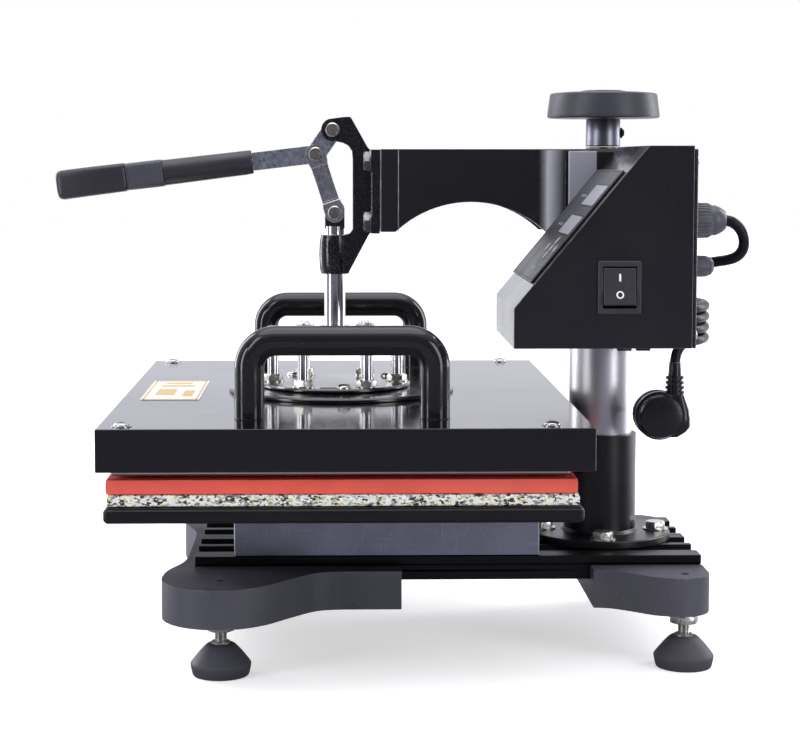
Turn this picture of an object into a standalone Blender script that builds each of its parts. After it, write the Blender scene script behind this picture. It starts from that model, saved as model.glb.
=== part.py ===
"""Swing-away heat press: an assembly of separate parts in metres, +Z up.

Run with blender --background --python part.py, or from the text editor.
Lengths are given from the press shaft, which stands over the middle of the plates:
x runs from the operator's lever (-) to the column (+), y is across, z is up from the floor.
"""
import math

import bmesh
import bpy
from mathutils import Vector

# --- driving dimensions -------------------------------------------------------------------
GAP = 0.0003                 # clearance between touching pieces
SHAFT_X = -0.0302            # the shaft's place when the press is centred over the origin
COLUMN_X = 0.1895            # column axis, from the shaft
PLATE_DEPTH = 0.380          # the working plates, front to back

FOOT_FRONT = (-0.0754, 0.1145)
FOOT_REAR = (0.2330, 0.0995)
BEAM_Z = (0.0367, 0.0626)
RAIL_X = (-0.0954, 0.2498)
RAIL_Z = (0.0528, 0.0690)
RAIL_HALF = 0.070
CHANNEL_X = (-0.0688, 0.1393)
CHANNEL_Z = (0.0693, 0.1146)
TRAY = ((-0.1426, 0.1537), 0.1925, (0.1149, 0.1248))
FOAM = ((-0.1415, 0.1518), PLATE_DEPTH / 2, (0.1251, 0.1325))
SILICONE = ((-0.1422, 0.1508), PLATE_DEPTH / 2, (0.1328, 0.1421))

PLATE = ((-0.1385, 0.1455), 0.1865, (0.1436, 0.1556))
COVER = ((-0.1461, 0.1593), 0.200, (0.1480, 0.1748))
SHEET = 0.0015               # cover and control box sheet

COLUMN_R = 0.02225
COLUMN_Z = (0.0760, 0.3350)
SOCKET_R = 0.0255
SOCKET_TOP = 0.1444
FLANGE_R = 0.050
FLANGE_Z = (0.0693, 0.0742)
FLANGE_BOLT_RING = 0.040
FLANGE_BOLT_TURN = math.radians(-4)
COLLAR_R = 0.0405
ARM_Z = (0.2879, 0.3453)
ARM_HALF = 0.025
ARM_START = 0.0316
ARCH = ((0.0945, 0.2327), 0.076)
SCREW_R = 0.006

LEVER_PIVOT = (-0.0015, 0.3588)      # (x, z) of the toggle's three pins
LINK_PIVOT = (-0.0134, 0.3418)
SHAFT_PIVOT = (0.0, 0.3007)
PIN_R = 0.0033
PIN_HEAD_R = 0.0051
LEVER_HALF = 0.0030                  # half thickness of the lever bar
LINK_Y = (0.0033, 0.0063)
EAR_Y = (0.0036, 0.0095)
LEVER_SLOPE = math.radians(6.84)     # the lever hangs this far below level
LEVER_REACH = 0.1827                 # from the link pivot to the lever's tip
SHAFT_R = 0.0075
BOSS_Z = (0.2577, 0.2850)

BOX_Y = (-0.177, -0.0461)            # control box, across
BOX_X = (0.1107, 0.2217)
BOX_BOTTOM = 0.2211
BOX_KNEE = 0.2462                    # where the sloping face starts
BOX_TOP = 0.3466
BOX_SHELF_X = 0.1936                 # where the sloping face meets the top
SWITCH = (0.1758, 0.2593)            # (x, z) of the rocker switch's centre
ROCKER_TILT = math.radians(7)

MAINS_GLAND = (-0.102, 0.2982)       # (y, z)
HEATER_GLAND = (-0.102, 0.2682)
GLAND_X = 0.2243
CORD_D = 0.0072
COIL_R = 0.0400                      # centreline radius of the coil's two round ends
COIL_FAR_X = 0.2225                  # centre of the round end behind the control box
COIL_Z = (0.2075, 0.2450)
PLUG = (0.2239, -0.0414, 0.1618)


# --- scene and helpers --------------------------------------------------------------------
def clear_scene():
    for item in list(bpy.data.objects):
        bpy.data.objects.remove(item, do_unlink=True)


def collection(name):
    made = bpy.data.collections.new(name)
    bpy.context.scene.collection.children.link(made)
    return made


def material(name, colour, roughness, metallic=0.0):
    made = bpy.data.materials.new(name)
    made.use_nodes = True
    shader = made.node_tree.nodes["Principled BSDF"]
    shader.inputs["Base Color"].default_value = (*colour, 1.0)
    shader.inputs["Roughness"].default_value = roughness
    shader.inputs["Metallic"].default_value = metallic
    return made


clear_scene()
PRESS = collection("heat_press")
CUTTERS = collection("cutters")

BLACK_PAINT = material("black_paint", (0.018, 0.018, 0.022), 0.30)
BLACK_SATIN = material("black_satin", (0.022, 0.022, 0.026), 0.45)
BLACK_CASTING = material("black_casting", (0.045, 0.045, 0.060), 0.5)
ROUGH_ENAMEL = material("rough_enamel", (0.012, 0.012, 0.014), 0.35)
EXTRUSION = material("black_extrusion", (0.020, 0.020, 0.022), 0.4, 0.6)
RUBBER = material("rubber", (0.030, 0.030, 0.030), 0.8)
BLACK_PLASTIC = material("black_plastic", (0.025, 0.025, 0.028), 0.5)
GRIP = material("grip", (0.030, 0.030, 0.035), 0.7)
CHROME = material("chrome", (0.80, 0.80, 0.82), 0.10, 1.0)
ZINC = material("zinc", (0.62, 0.62, 0.60), 0.35, 1.0)
GALVANISED = material("galvanised", (0.55, 0.57, 0.62), 0.45, 1.0)
ALUMINIUM = material("aluminium", (0.75, 0.75, 0.76), 0.4, 1.0)
SILICONE_RED = material("silicone_red", (0.75, 0.09, 0.07), 0.6)
FOAM_FLECK = material("foam_fleck", (0.70, 0.68, 0.60), 0.9)
WOOL = material("insulation", (0.80, 0.78, 0.72), 0.95)
PANEL = material("panel", (0.10, 0.10, 0.12), 0.35)


def empty(name, place, parent=None):
    """An axis or reference point; place is measured from the shaft."""
    made = bpy.data.objects.new(name, None)
    made.empty_display_size = 0.02
    PRESS.objects.link(made)
    made["place"] = place
    if parent is None:
        made.location = place
    else:
        made.parent = parent
        made.location = Vector(place) - Vector(parent["place"])
    return made


def put(item, place, pivot):
    """Hangs an object from a pivot, with place measured from the shaft."""
    item.parent = pivot
    item.location = Vector(place) - Vector(pivot["place"])


def add(name, mesh, skin, place=(0, 0, 0), pivot=None):
    item = bpy.data.objects.new(name, mesh)
    mesh.name = name
    mesh.materials.clear()
    mesh.materials.append(skin)
    PRESS.objects.link(item)
    put(item, place, pivot or ORIGIN)
    return item


def cutter(name, mesh, place=(0, 0, 0), pivot=None):
    item = bpy.data.objects.new(name, mesh)
    CUTTERS.objects.link(item)
    put(item, place, pivot or ORIGIN)
    item.hide_render = True
    item.display_type = "WIRE"
    return item


def boolean(item, tool, operation="DIFFERENCE"):
    step = item.modifiers.new(tool.name, "BOOLEAN")
    step.operation = operation
    step.object = tool
    step.solver = "EXACT"
    return item


def bevel(item, width, segments=1, angle=math.radians(40)):
    step = item.modifiers.new("Bevel", "BEVEL")
    step.width = width
    step.segments = segments
    step.limit_method = "ANGLE"
    step.angle_limit = angle
    return item


def smooth_shade(item):
    item.data.shade_smooth()
    item.data.set_sharp_from_angle(angle=math.radians(35))
    return item


def box_mesh(low, high):
    work = bmesh.new()
    bmesh.ops.create_cube(work, size=1.0)
    size = Vector(high) - Vector(low)
    centre = (Vector(high) + Vector(low)) / 2
    for v in work.verts:
        v.co = Vector((v.co.x * size.x, v.co.y * size.y, v.co.z * size.z)) + centre
    mesh = bpy.data.meshes.new("box")
    work.to_mesh(mesh)
    work.free()
    return mesh


def slab_mesh(slab):
    """A plate given as ((x low, x high), half depth, (z low, z high))."""
    (x0, x1), half, (z0, z1) = slab
    return box_mesh((x0, -half, z0), (x1, half, z1))


def rod_mesh(radius, start, end, sides=24, axis="Z", turn=0.0):
    """A cylinder along an axis, from start to end on it."""
    work = bmesh.new()
    bmesh.ops.create_cone(work, cap_ends=True, segments=sides, radius1=radius, radius2=radius,
                          depth=end - start)
    for v in work.verts:
        x = v.co.x * math.cos(turn) - v.co.y * math.sin(turn)
        y = v.co.x * math.sin(turn) + v.co.y * math.cos(turn)
        z = v.co.z + (start + end) / 2
        v.co = {"Z": (x, y, z), "Y": (y, z, x), "X": (z, x, y)}[axis]
    mesh = bpy.data.meshes.new("rod")
    work.to_mesh(mesh)
    work.free()
    return mesh


def turned(name, profile, skin, place=(0, 0, 0), pivot=None, steps=48, closed=False, axis="Z"):
    """Turns an (r, z) profile, which runs down its outer side, about its own axis."""
    work = bmesh.new()
    points = [work.verts.new((r, 0, z)) for r, z in profile]
    for a, b in zip(points, points[1:]):
        work.edges.new((a, b))
    if closed:
        work.edges.new((points[-1], points[0]))
    mesh = bpy.data.meshes.new(name)
    work.to_mesh(mesh)
    work.free()
    item = add(name, mesh, skin, place, pivot)
    step = item.modifiers.new("Screw", "SCREW")
    step.axis = "Z"
    step.steps = steps
    step.render_steps = steps
    step.use_merge_vertices = True
    step.merge_threshold = 0.00001
    step.use_smooth_shade = True
    if axis == "X":
        item.rotation_euler = (0, math.pi / 2, 0)
    return item


def arc(centre, radius, start, end, count):
    """Points on an arc, angles in degrees."""
    points = []
    for i in range(count + 1):
        a = math.radians(start + (end - start) * i / count)
        points.append((centre[0] + radius * math.cos(a), centre[1] + radius * math.sin(a)))
    return points


def smooth_line(points, per_step):
    """A Catmull-Rom curve through points of any dimension, ends included."""
    line = []
    ends = [points[0], *points, points[-1]]
    for i in range(1, len(ends) - 2):
        a, b, c, d = (Vector(p) for p in ends[i - 1:i + 3])
        for k in range(per_step):
            t = k / per_step
            line.append(0.5 * (2 * b + (c - a) * t + (2 * a - 5 * b + 4 * c - d) * t * t
                               + (3 * b - a - 3 * c + d) * t ** 3))
    line.append(Vector(points[-1]))
    return line


def capsule(a, b, radius_a, radius_b, half=None, count=8):
    """Outline of a bar with round ends about a and b, straight between them."""
    along = math.degrees(math.atan2(b[1] - a[1], b[0] - a[0]))
    if half is None:
        return (arc(a, radius_a, along + 90, along + 270, count)
                + arc(b, radius_b, along - 90, along + 90, count))
    ta = math.degrees(math.asin(half / radius_a))
    tb = math.degrees(math.asin(half / radius_b))
    return (arc(a, radius_a, along + ta, along + 360 - ta, count + 4)
            + arc(b, radius_b, along - 180 + tb, along + 180 - tb, count + 4))


def outline_mesh(splines, start, end, plane="XY"):
    """A flat outline, holes included, given thickness from start to end across its plane."""
    curve = bpy.data.curves.new("outline", "CURVE")
    curve.dimensions = "2D"
    curve.fill_mode = "BOTH"
    curve.extrude = (end - start) / 2
    for points in splines:
        spline = curve.splines.new("POLY")
        spline.points.add(len(points) - 1)
        for point, at in zip(spline.points, points):
            point.co = (at[0], at[1], 0, 1)
        spline.use_cyclic_u = True
    guide = bpy.data.objects.new("outline", curve)
    PRESS.objects.link(guide)
    mesh = bpy.data.meshes.new_from_object(guide.evaluated_get(bpy.context.evaluated_depsgraph_get()))
    bpy.data.objects.remove(guide)
    bpy.data.curves.remove(curve)
    work = bmesh.new()
    work.from_mesh(mesh)
    bmesh.ops.remove_doubles(work, verts=work.verts, dist=0.000001)
    middle = (start + end) / 2
    for v in work.verts:
        x, y, z = v.co.x, v.co.y, v.co.z + middle
        v.co = {"XY": (x, y, z), "XZ": (x, z, y), "YZ": (z, x, y)}[plane]
    bmesh.ops.recalc_face_normals(work, faces=work.faces)
    if work.calc_volume(signed=True) < 0:
        bmesh.ops.reverse_faces(work, faces=work.faces)
    work.to_mesh(mesh)
    work.free()
    return mesh


def tube(name, points, radius, skin, pivot=None, place=(0, 0, 0), resolution=2):
    """A bent tube or wire with closed ends, along points."""
    curve = bpy.data.curves.new(name, "CURVE")
    curve.dimensions = "3D"
    curve.bevel_depth = radius
    curve.bevel_resolution = resolution
    curve.use_fill_caps = True
    curve.render_resolution_u = 0
    curve.materials.append(skin)
    spline = curve.splines.new("POLY")
    spline.points.add(len(points) - 1)
    for point, at in zip(spline.points, points):
        point.co = (*at, 1)
    item = bpy.data.objects.new(name, curve)
    PRESS.objects.link(item)
    put(item, place, pivot or ORIGIN)
    return item


def hex_bolt(name, place, head, shank, skin, pivot=None, axis="Z"):
    """A hex bolt: head and shank each as (radius, start, end) on its axis."""
    item = add(name, rod_mesh(*head, sides=6, axis=axis), skin, place, pivot)
    stem = cutter(name + "_shank", rod_mesh(*shank, sides=12, axis=axis), place, pivot)
    return boolean(item, stem, "UNION")


# --- joint axes ---------------------------------------------------------------------------
ORIGIN = empty("press_origin", (0, 0, 0))
ORIGIN.location = (SHAFT_X, 0, 0)
COLUMN_AXIS = empty("column_axis", (COLUMN_X, 0, 0), ORIGIN)
ARM_AXIS = empty("arm_axis", (COLUMN_X, 0, ARM_Z[0]), COLUMN_AXIS)
KNOB_AXIS = empty("knob_axis", (COLUMN_X, 0, ARM_Z[1]), COLUMN_AXIS)
PLATEN_AXIS = empty("platen_axis", (0, 0, COVER[2][1]), ARM_AXIS)
LEVER_AXIS = empty("lever_axis", (LEVER_PIVOT[0], 0, LEVER_PIVOT[1]), ARM_AXIS)
LINK_AXIS = empty("link_axis", (LINK_PIVOT[0], 0, LINK_PIVOT[1]), LEVER_AXIS)
ROCKER_AXIS = empty("rocker_axis", (SWITCH[0], BOX_Y[0] + 0.0025, SWITCH[1]), ARM_AXIS)


# --- base ---------------------------------------------------------------------------------
def foot(name, x, y):
    """A rubber cone on a threaded stud, whose lock nut is part of the stud here."""
    pivot = empty(name + "_axis", (x, y, 0), ORIGIN)
    turned("foot_pad_" + name,
           [(0, 0.0210), (0.0090, 0.0210), (0.0105, 0.0195), (0.0190, 0.0085), (0.0200, 0.0060),
            (0.0200, 0.0030), (0.0185, 0), (0, 0)],
           RUBBER, (x, y, 0), pivot, steps=24)
    nut = rod_mesh(0.0098, 0.0302, 0.0362, sides=6, turn=math.radians(30 + 12 * (x > 0)))
    stud = add("foot_stud_" + name, rod_mesh(0.0040, 0.0213, 0.0520, sides=16), ZINC,
               (x, y, 0), pivot)
    boolean(stud, cutter("foot_nut_" + name, nut, (x, y, 0), pivot), "UNION")


def foot_beam(name, half_outline, feet, notch_start):
    """A cast beam, mirrored across y = 0, notched for the rails and bored for the studs."""
    far_half = [(x, -y) for x, y in reversed(half_outline)]
    beam = add(name, outline_mesh([half_outline + far_half], *BEAM_Z), BLACK_CASTING)
    x, y = feet
    for side in (-1, 1):
        hole = cutter(f"{name}_stud_hole{side}", rod_mesh(0.0045, 0.03, 0.0545, sides=16),
                      (x, side * y, 0))
        boolean(beam, hole)
        dimple = cutter(f"{name}_screw_hole{side}", rod_mesh(0.0030, 0.0585, 0.07, sides=12),
                        (x, side * y, 0))
        boolean(beam, dimple)
    notch = box_mesh((notch_start, -RAIL_HALF - GAP, RAIL_Z[0] - GAP),
                     (notch_start + 0.2, RAIL_HALF + GAP, 0.08))
    boolean(beam, cutter(name + "_notch", notch))
    return beam


def base_rail(name, side):
    """An extruded rail with raised strips along its top and a groove along its face."""
    low, high = RAIL_Z
    floor = high - 0.0035
    outline = [(0.0003, low), (0.0700, low), (0.0700, 0.0585), (0.0688, 0.0592), (0.0688, 0.0628),
               (0.0700, 0.0635), (0.0700, high), (0.0525, high), (0.0525, floor), (0.0335, floor),
               (0.0335, high), (0.0265, high), (0.0265, floor), (0.0080, floor), (0.0080, high),
               (0.0003, high)]
    mesh = outline_mesh([[(side * y, z) for y, z in outline]], *RAIL_X, plane="YZ")
    return add(name, mesh, EXTRUSION)


def open_box(name, low, high, missing, wall, skin, pivot=None):
    """A folded sheet box: five faces of a box, thickened inwards; missing is the open side."""
    work = bmesh.new()
    source = box_mesh(low, high)
    work.from_mesh(source)
    bpy.data.meshes.remove(source)
    gone = [f for f in work.faces if f.normal.dot(Vector(missing)) > 0.9]
    bmesh.ops.delete(work, geom=gone, context="FACES")
    mesh = bpy.data.meshes.new(name)
    work.to_mesh(mesh)
    work.free()
    pivot = pivot or ORIGIN
    item = add(name, mesh, skin, (0, 0, 0), pivot)
    step = item.modifiers.new("Solidify", "SOLIDIFY")
    step.thickness = wall
    step.offset = -1
    step.use_even_offset = True
    return item


def front_beam_outline():
    """Half of the lever end's beam, from its straight end round the near foot."""
    lobe = arc((FOOT_FRONT[0], -0.1050), 0.0395, -60, -180, 10)
    waist = smooth_line([(0.0040, -0.0890), (-0.0120, -0.0930), (-0.0280, -0.1100),
                         (-0.0440, -0.1300), lobe[0]], 4)
    back = smooth_line([lobe[-1], (-0.1130, -0.0830), (-0.1040, -0.0550), (-0.1020, -0.0300)], 3)
    line = [(0.0445, -0.0890), *[tuple(p) for p in waist], *lobe[1:-1], *[tuple(p) for p in back]]
    return [(0.0445, 0.0), *line, (-0.1020, 0.0)][1:-1]


def rear_beam_outline():
    """Half of the column end's beam; its foot sits nearer the middle."""
    lobe = arc((0.2294, -0.0940), 0.0210, -115, 0, 9)
    flare = smooth_line([(0.1740, -0.0870), (0.1850, -0.0890), (0.1990, -0.0990),
                         (0.2110, -0.1090), lobe[0]], 3)
    return [(0.1740, -0.0300), *[tuple(p) for p in flare], *lobe[1:], (0.2504, -0.0300)]


def base():
    for place, (x, y) in (("front", FOOT_FRONT), ("rear", FOOT_REAR)):
        foot(place + "_near", x, -y)
        foot(place + "_far", x, y)
    bevel(foot_beam("front_foot_beam", front_beam_outline(), FOOT_FRONT, RAIL_X[0] - GAP), 0.0015)
    bevel(foot_beam("rear_foot_beam", rear_beam_outline(), FOOT_REAR, 0.15), 0.0015)
    base_rail("near_base_rail", -1)
    base_rail("far_base_rail", 1)
    half = RAIL_HALF - 0.001
    open_box("support_channel", (CHANNEL_X[0], -half, CHANNEL_Z[0]), (CHANNEL_X[1], half, CHANNEL_Z[1]),
             (0, 0, -1), 0.002, GALVANISED)
    bevel(add("lower_platen", slab_mesh(TRAY), BLACK_PAINT), 0.0025, 2)
    bevel(add("foam_pad", slab_mesh(FOAM), FOAM_FLECK), 0.0008)
    bevel(add("silicone_pad", slab_mesh(SILICONE), SILICONE_RED), 0.0010)


def column_parts():
    low, top = FLANGE_Z
    bore = COLUMN_R + GAP
    flange = turned("column_flange",
                    [(0, COLUMN_Z[0] - GAP), (bore, COLUMN_Z[0] - GAP), (bore, SOCKET_TOP),
                     (SOCKET_R - 0.0006, SOCKET_TOP), (SOCKET_R, SOCKET_TOP - 0.0006),
                     (SOCKET_R, top + 0.0022), (SOCKET_R + 0.0022, top),
                     (FLANGE_R - 0.0008, top), (FLANGE_R, top - 0.0008), (FLANGE_R, low), (0, low)],
                    BLACK_SATIN, (COLUMN_X, 0, 0), COLUMN_AXIS)
    for i in range(4):
        a = FLANGE_BOLT_TURN + i * math.pi / 2
        x = COLUMN_X + FLANGE_BOLT_RING * math.cos(a)
        y = FLANGE_BOLT_RING * math.sin(a)
        boolean(flange, cutter(f"flange_hole_{i}", rod_mesh(0.0045, 0.06, 0.08, sides=16), (x, y, 0)))
        hex_bolt(f"flange_bolt_{i + 1}", (x, y, 0), (0.0075, top + GAP, top + 0.0056),
                 (0.0040, low + GAP, top + 0.003), ZINC)
    z0, z1 = COLUMN_Z
    inner = COLUMN_R - 0.003
    turned("column", [(inner, z1), (COLUMN_R - 0.0005, z1), (COLUMN_R, z1 - 0.0005),
                      (COLUMN_R, z0), (inner, z0)],
           CHROME, (COLUMN_X, 0, 0), COLUMN_AXIS, closed=True)
    turned("column_nut", [(SCREW_R + GAP, 0.3300), (inner - GAP, 0.3300), (inner - GAP, 0.3150),
                          (SCREW_R + GAP, 0.3150)],
           ZINC, (COLUMN_X, 0, 0), COLUMN_AXIS, steps=32, closed=True)


# --- height adjustment --------------------------------------------------------------------
def knob():
    top = ARM_Z[1]
    place = (COLUMN_X, 0, 0)
    turned("thrust_washer", [(SCREW_R + 0.0006, top + 0.0018), (0.0120, top + 0.0018),
                             (0.0120, top + GAP), (SCREW_R + 0.0006, top + GAP)],
           ZINC, place, KNOB_AXIS, steps=32, closed=True)
    add("pressure_screw", rod_mesh(SCREW_R, 0.2600, top + 0.0018, sides=20), ZINC, place, KNOB_AXIS)
    turned("knob_stem", [(0, 0.3667), (0.0100, 0.3667), (0.0100, 0.3480), (0.0094, 0.3474), (0, 0.3474)],
           CHROME, place, KNOB_AXIS, steps=32)
    turned("pressure_knob",
           [(0, 0.3866), (0.0290, 0.3863), (0.0355, 0.3852), (0.0378, 0.3828), (0.0386, 0.3790),
            (0.0386, 0.3725), (0.0378, 0.3688), (0.0355, 0.3672), (0.0200, 0.3670), (0, 0.3670)],
           BLACK_PLASTIC, place, KNOB_AXIS, steps=40)


# --- arm ----------------------------------------------------------------------------------
def arm():
    low, high = ARM_Z
    arm_beam = add("swing_arm", box_mesh((ARM_START, -ARM_HALF, low), (0.175, ARM_HALF, high)),
                   BLACK_SATIN, pivot=ARM_AXIS)
    (ax, az), arch_r = ARCH
    boolean(arm_beam, cutter("arch", rod_mesh(arch_r, -0.05, 0.05, sides=96, axis="Y"), (ax, 0, az)))
    hollow = box_mesh((0.0440, -ARM_HALF + 0.005, 0.27), (0.20, ARM_HALF - 0.005, high - 0.005))
    boolean(arm_beam, cutter("arm_hollow", hollow))
    boolean(arm_beam, cutter("collar_room", rod_mesh(COLLAR_R + GAP, 0.25, 0.38, sides=64),
                             (COLUMN_X, 0, 0)))
    bevel(arm_beam, 0.0008)

    bore = COLUMN_R + GAP
    turned("arm_collar",
           [(SCREW_R + 0.0006, high), (COLLAR_R - 0.001, high), (COLLAR_R, high - 0.001),
            (COLLAR_R, low + 0.001), (COLLAR_R - 0.001, low), (bore, low), (bore, 0.3380),
            (SCREW_R + 0.0006, 0.3380)],
           BLACK_SATIN, (COLUMN_X, 0, 0), ARM_AXIS, closed=True)
    plate = box_mesh((0.1600, BOX_Y[1] + GAP, low + 0.002), (0.2150, -COLLAR_R - GAP, high - 0.0015))
    bevel(add("box_bracket", plate, BLACK_SATIN, pivot=ARM_AXIS), 0.0006)


def toggle_bracket():
    """The C-shaped casting: ears for the lever pin above, a boss for the shaft below."""
    px, pz = LEVER_PIVOT
    outline = (arc(LEVER_PIVOT, 0.0080, 110, 282, 12)
               + [(0.0058, 0.3498), (0.0096, 0.3478), (0.0122, 0.3440), (0.0127, 0.3380),
                  (0.0127, 0.2890), (0.0105, 0.2862), (0.0060, 0.2850), (0.0060, 0.2580),
                  (0.0094, 0.2580), (0.0236, 0.2847), (0.0249, 0.2867), (0.0313, 0.2867),
                  (0.0313, 0.3450), (0.0249, 0.3450), (0.0232, 0.3465), (0.0116, 0.3672),
                  (0.0104, 0.3679), (0.0059, 0.3677)])
    body = add("toggle_bracket", outline_mesh([outline], -EAR_Y[1], EAR_Y[1], "XZ"),
               ROUGH_ENAMEL, pivot=ARM_AXIS)
    flange = box_mesh((0.0255, -0.0245, 0.2867), (0.0313, 0.0245, 0.3450))
    boolean(body, cutter("bracket_flange", flange), "UNION")
    z0, z1 = BOSS_Z
    boss = turned("boss", [(0, z1), (0.0098, z1), (0.0108, z1 - 0.005), (0.0112, (z0 + z1) / 2),
                           (0.0108, z0 + 0.004), (0.0100, z0), (0, z0)],
                  ROUGH_ENAMEL, steps=32)
    PRESS.objects.unlink(boss)
    CUTTERS.objects.link(boss)
    boss.hide_render = True
    boss.display_type = "WIRE"
    boolean(body, boss, "UNION")
    boolean(body, cutter("shaft_bore", rod_mesh(SHAFT_R + GAP, 0.24, 0.295, sides=32)))
    slot = box_mesh((-0.03, -EAR_Y[0], 0.3440), (px + 0.0095, EAR_Y[0], 0.38))
    boolean(body, cutter("ear_slot", slot))
    boolean(body, cutter("ear_bore", rod_mesh(PIN_R + GAP, -0.02, 0.02, sides=20, axis="Y"), (px, 0, pz)))
    for i, (y, z) in enumerate([(-0.0175, 0.3370), (-0.0175, 0.2945), (0.0175, 0.3370), (0.0175, 0.2945)]):
        bolt_hole = rod_mesh(0.0035, 0.02, 0.035, sides=12, axis="X")
        boolean(body, cutter(f"bracket_hole_{i}", bolt_hole, (0, y, z)))
        hex_bolt(f"bracket_bolt_{i + 1}", (0, y, z), (0.0075, 0.0203, 0.0252), (0.0031, 0.0230, 0.0311),
                 ZINC, ARM_AXIS, axis="X")
    pin("lever_pivot_pin", LEVER_PIVOT, EAR_Y[1] + GAP, 0.002, ARM_AXIS)


def pin(name, at, grip, head, pivot):
    """A pin across the machine with a head at each end; grip is half the length between them."""
    place = (at[0], 0, at[1])
    item = add(name, rod_mesh(PIN_R, -grip - head / 2, grip + head / 2, sides=20, axis="Y"),
               ZINC, place, pivot)
    for side in (-1, 1):
        ends = sorted((side * grip, side * (grip + head)))
        mesh = rod_mesh(PIN_HEAD_R, *ends, sides=24, axis="Y")
        boolean(item, cutter(f"{name}_head{side}", mesh, place, pivot), "UNION")
    return item


# --- control box --------------------------------------------------------------------------
def control_box():
    x0, x1 = BOX_X
    y0, y1 = BOX_Y
    outline = [(x0, BOX_BOTTOM), (x1, BOX_BOTTOM), (x1, BOX_TOP), (BOX_SHELF_X, BOX_TOP), (x0, BOX_KNEE)]
    work = bmesh.new()
    source = outline_mesh([outline], y0, y1, "XZ")
    work.from_mesh(source)
    bpy.data.meshes.remove(source)
    bmesh.ops.dissolve_limit(work, angle_limit=0.01, verts=work.verts, edges=work.edges)
    gone = [f for f in work.faces if f.normal.x > 0.9]
    bmesh.ops.delete(work, geom=gone, context="FACES")
    mesh = bpy.data.meshes.new("control_box")
    work.to_mesh(mesh)
    work.free()
    shell = add("control_box", mesh, BLACK_PAINT, pivot=ARM_AXIS)
    step = shell.modifiers.new("Solidify", "SOLIDIFY")
    step.thickness = SHEET
    step.offset = -1
    step.use_even_offset = True
    sx, sz = SWITCH
    opening = box_mesh((sx - 0.0121, y0 - 0.01, sz - 0.0151), (sx + 0.0121, y0 + 0.01, sz + 0.0151))
    boolean(shell, cutter("switch_opening", opening))

    plate = box_mesh((x1 + GAP, y0 + 0.0005, BOX_BOTTOM), (GLAND_X - GAP, y1 - 0.0005, BOX_TOP - 0.002))
    bevel(add("box_rear_plate", plate, BLACK_PAINT, pivot=ARM_AXIS), 0.0005)

    rise = math.atan2(BOX_TOP - BOX_KNEE, BOX_SHELF_X - x0)
    panel = box_mesh((0.0190, -0.1655, GAP), (0.1095, -0.0495, 0.0016))
    panel = bevel(add("display_panel", panel, PANEL, (x0, 0, BOX_KNEE), ARM_AXIS), 0.0004)
    panel.rotation_euler = (0, -rise, 0)
    switch()
    gland("mains_gland", MAINS_GLAND, 0.0118, 0.0317, 0.0040)
    gland("heater_gland", HEATER_GLAND, 0.0072, 0.0242, 0.0034)


def switch():
    """A rocker in a bezel whose pocket lets it tip both ways."""
    sx, sz = SWITCH
    y0 = BOX_Y[0]
    frame = box_mesh((sx - 0.0135, y0 - 0.0023, sz - 0.0165), (sx + 0.0135, y0 - GAP, sz + 0.0165))
    bezel = bevel(add("switch_bezel", frame, BLACK_PLASTIC, pivot=ARM_AXIS), 0.0006)
    body = box_mesh((sx - 0.0118, y0 - 0.001, sz - 0.0148), (sx + 0.0118, y0 + 0.0150, sz + 0.0148))
    boolean(bezel, cutter("switch_body", body), "UNION")
    pocket = box_mesh((sx - 0.0105, y0 - 0.01, sz - 0.0130), (sx + 0.0105, y0 + 0.0100, sz + 0.0130))
    boolean(bezel, cutter("switch_pocket", pocket))
    profile = [(-0.0062, -0.0114), (-0.0050, 0.0), (-0.0062, 0.0114), (-0.0040, 0.0117), (0.0060, 0.0085),
               (0.0060, -0.0085), (-0.0040, -0.0117)]
    tilted = [(y * math.cos(ROCKER_TILT) + z * math.sin(ROCKER_TILT),
               z * math.cos(ROCKER_TILT) - y * math.sin(ROCKER_TILT)) for y, z in profile]
    mesh = outline_mesh([tilted], -0.0101, 0.0101, "YZ")
    rocker = add("switch_rocker", mesh, BLACK_PLASTIC, (sx, y0 + 0.0025, sz), ROCKER_AXIS)
    bevel(rocker, 0.0004)


def gland(name, at, radius, length, bore):
    """A cable gland on the rear plate: a body, a dome nut and a short bore for the cable."""
    place = (GLAND_X, *at)
    turned(name, [(0, length - 0.003), (bore, length - 0.003), (bore, length),
                  (radius * 0.55, length), (radius * 0.80, length * 0.90), (radius * 0.97, length * 0.72),
                  (radius, length * 0.66), (radius, 0), (0, 0)],
           BLACK_PLASTIC, place, ARM_AXIS, steps=24, axis="X")


# --- mains lead ---------------------------------------------------------------------------
def cord_route():
    """The lead's free stretch, from the gland's nose round to the coil, set out by hand."""
    start = (GLAND_X + 0.0317 + GAP, *MAINS_GLAND)
    return [start, (0.2605, -0.1021, 0.2972), (0.2645, -0.1020, 0.2943), (0.2676, -0.1016, 0.2898),
            (0.2690, -0.1008, 0.2840), (0.2683, -0.0990, 0.2783), (0.2650, -0.0964, 0.2740),
            (0.2598, -0.0930, 0.2718), (0.2540, -0.0893, 0.2706), (0.2482, -0.0850, 0.2690),
            (0.2425, -0.0790, 0.2655), (0.2375, -0.0715, 0.2600), (0.2340, -0.0640, 0.2540),
            (0.2322, -0.0570, 0.2485), (0.2300, -0.0510, 0.2456)]


def mains_lead():
    line = smooth_line(cord_route(), 2)
    tube("mains_cord", line, CORD_D / 2, RUBBER, ARM_AXIS, (0, 0, 0))
    outer = COIL_R + CORD_D / 2 + 0.0004
    inner = COIL_R - CORD_D / 2 - 0.0004
    rings = [arc((COIL_FAR_X, 0), r, -90, 90, 16) + arc((COLUMN_X, 0), r, 90, 270, 16)
             for r in (outer, inner)]
    add("cord_coil", outline_mesh(rings, *COIL_Z), RUBBER, pivot=ARM_AXIS)
    plug()


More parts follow.
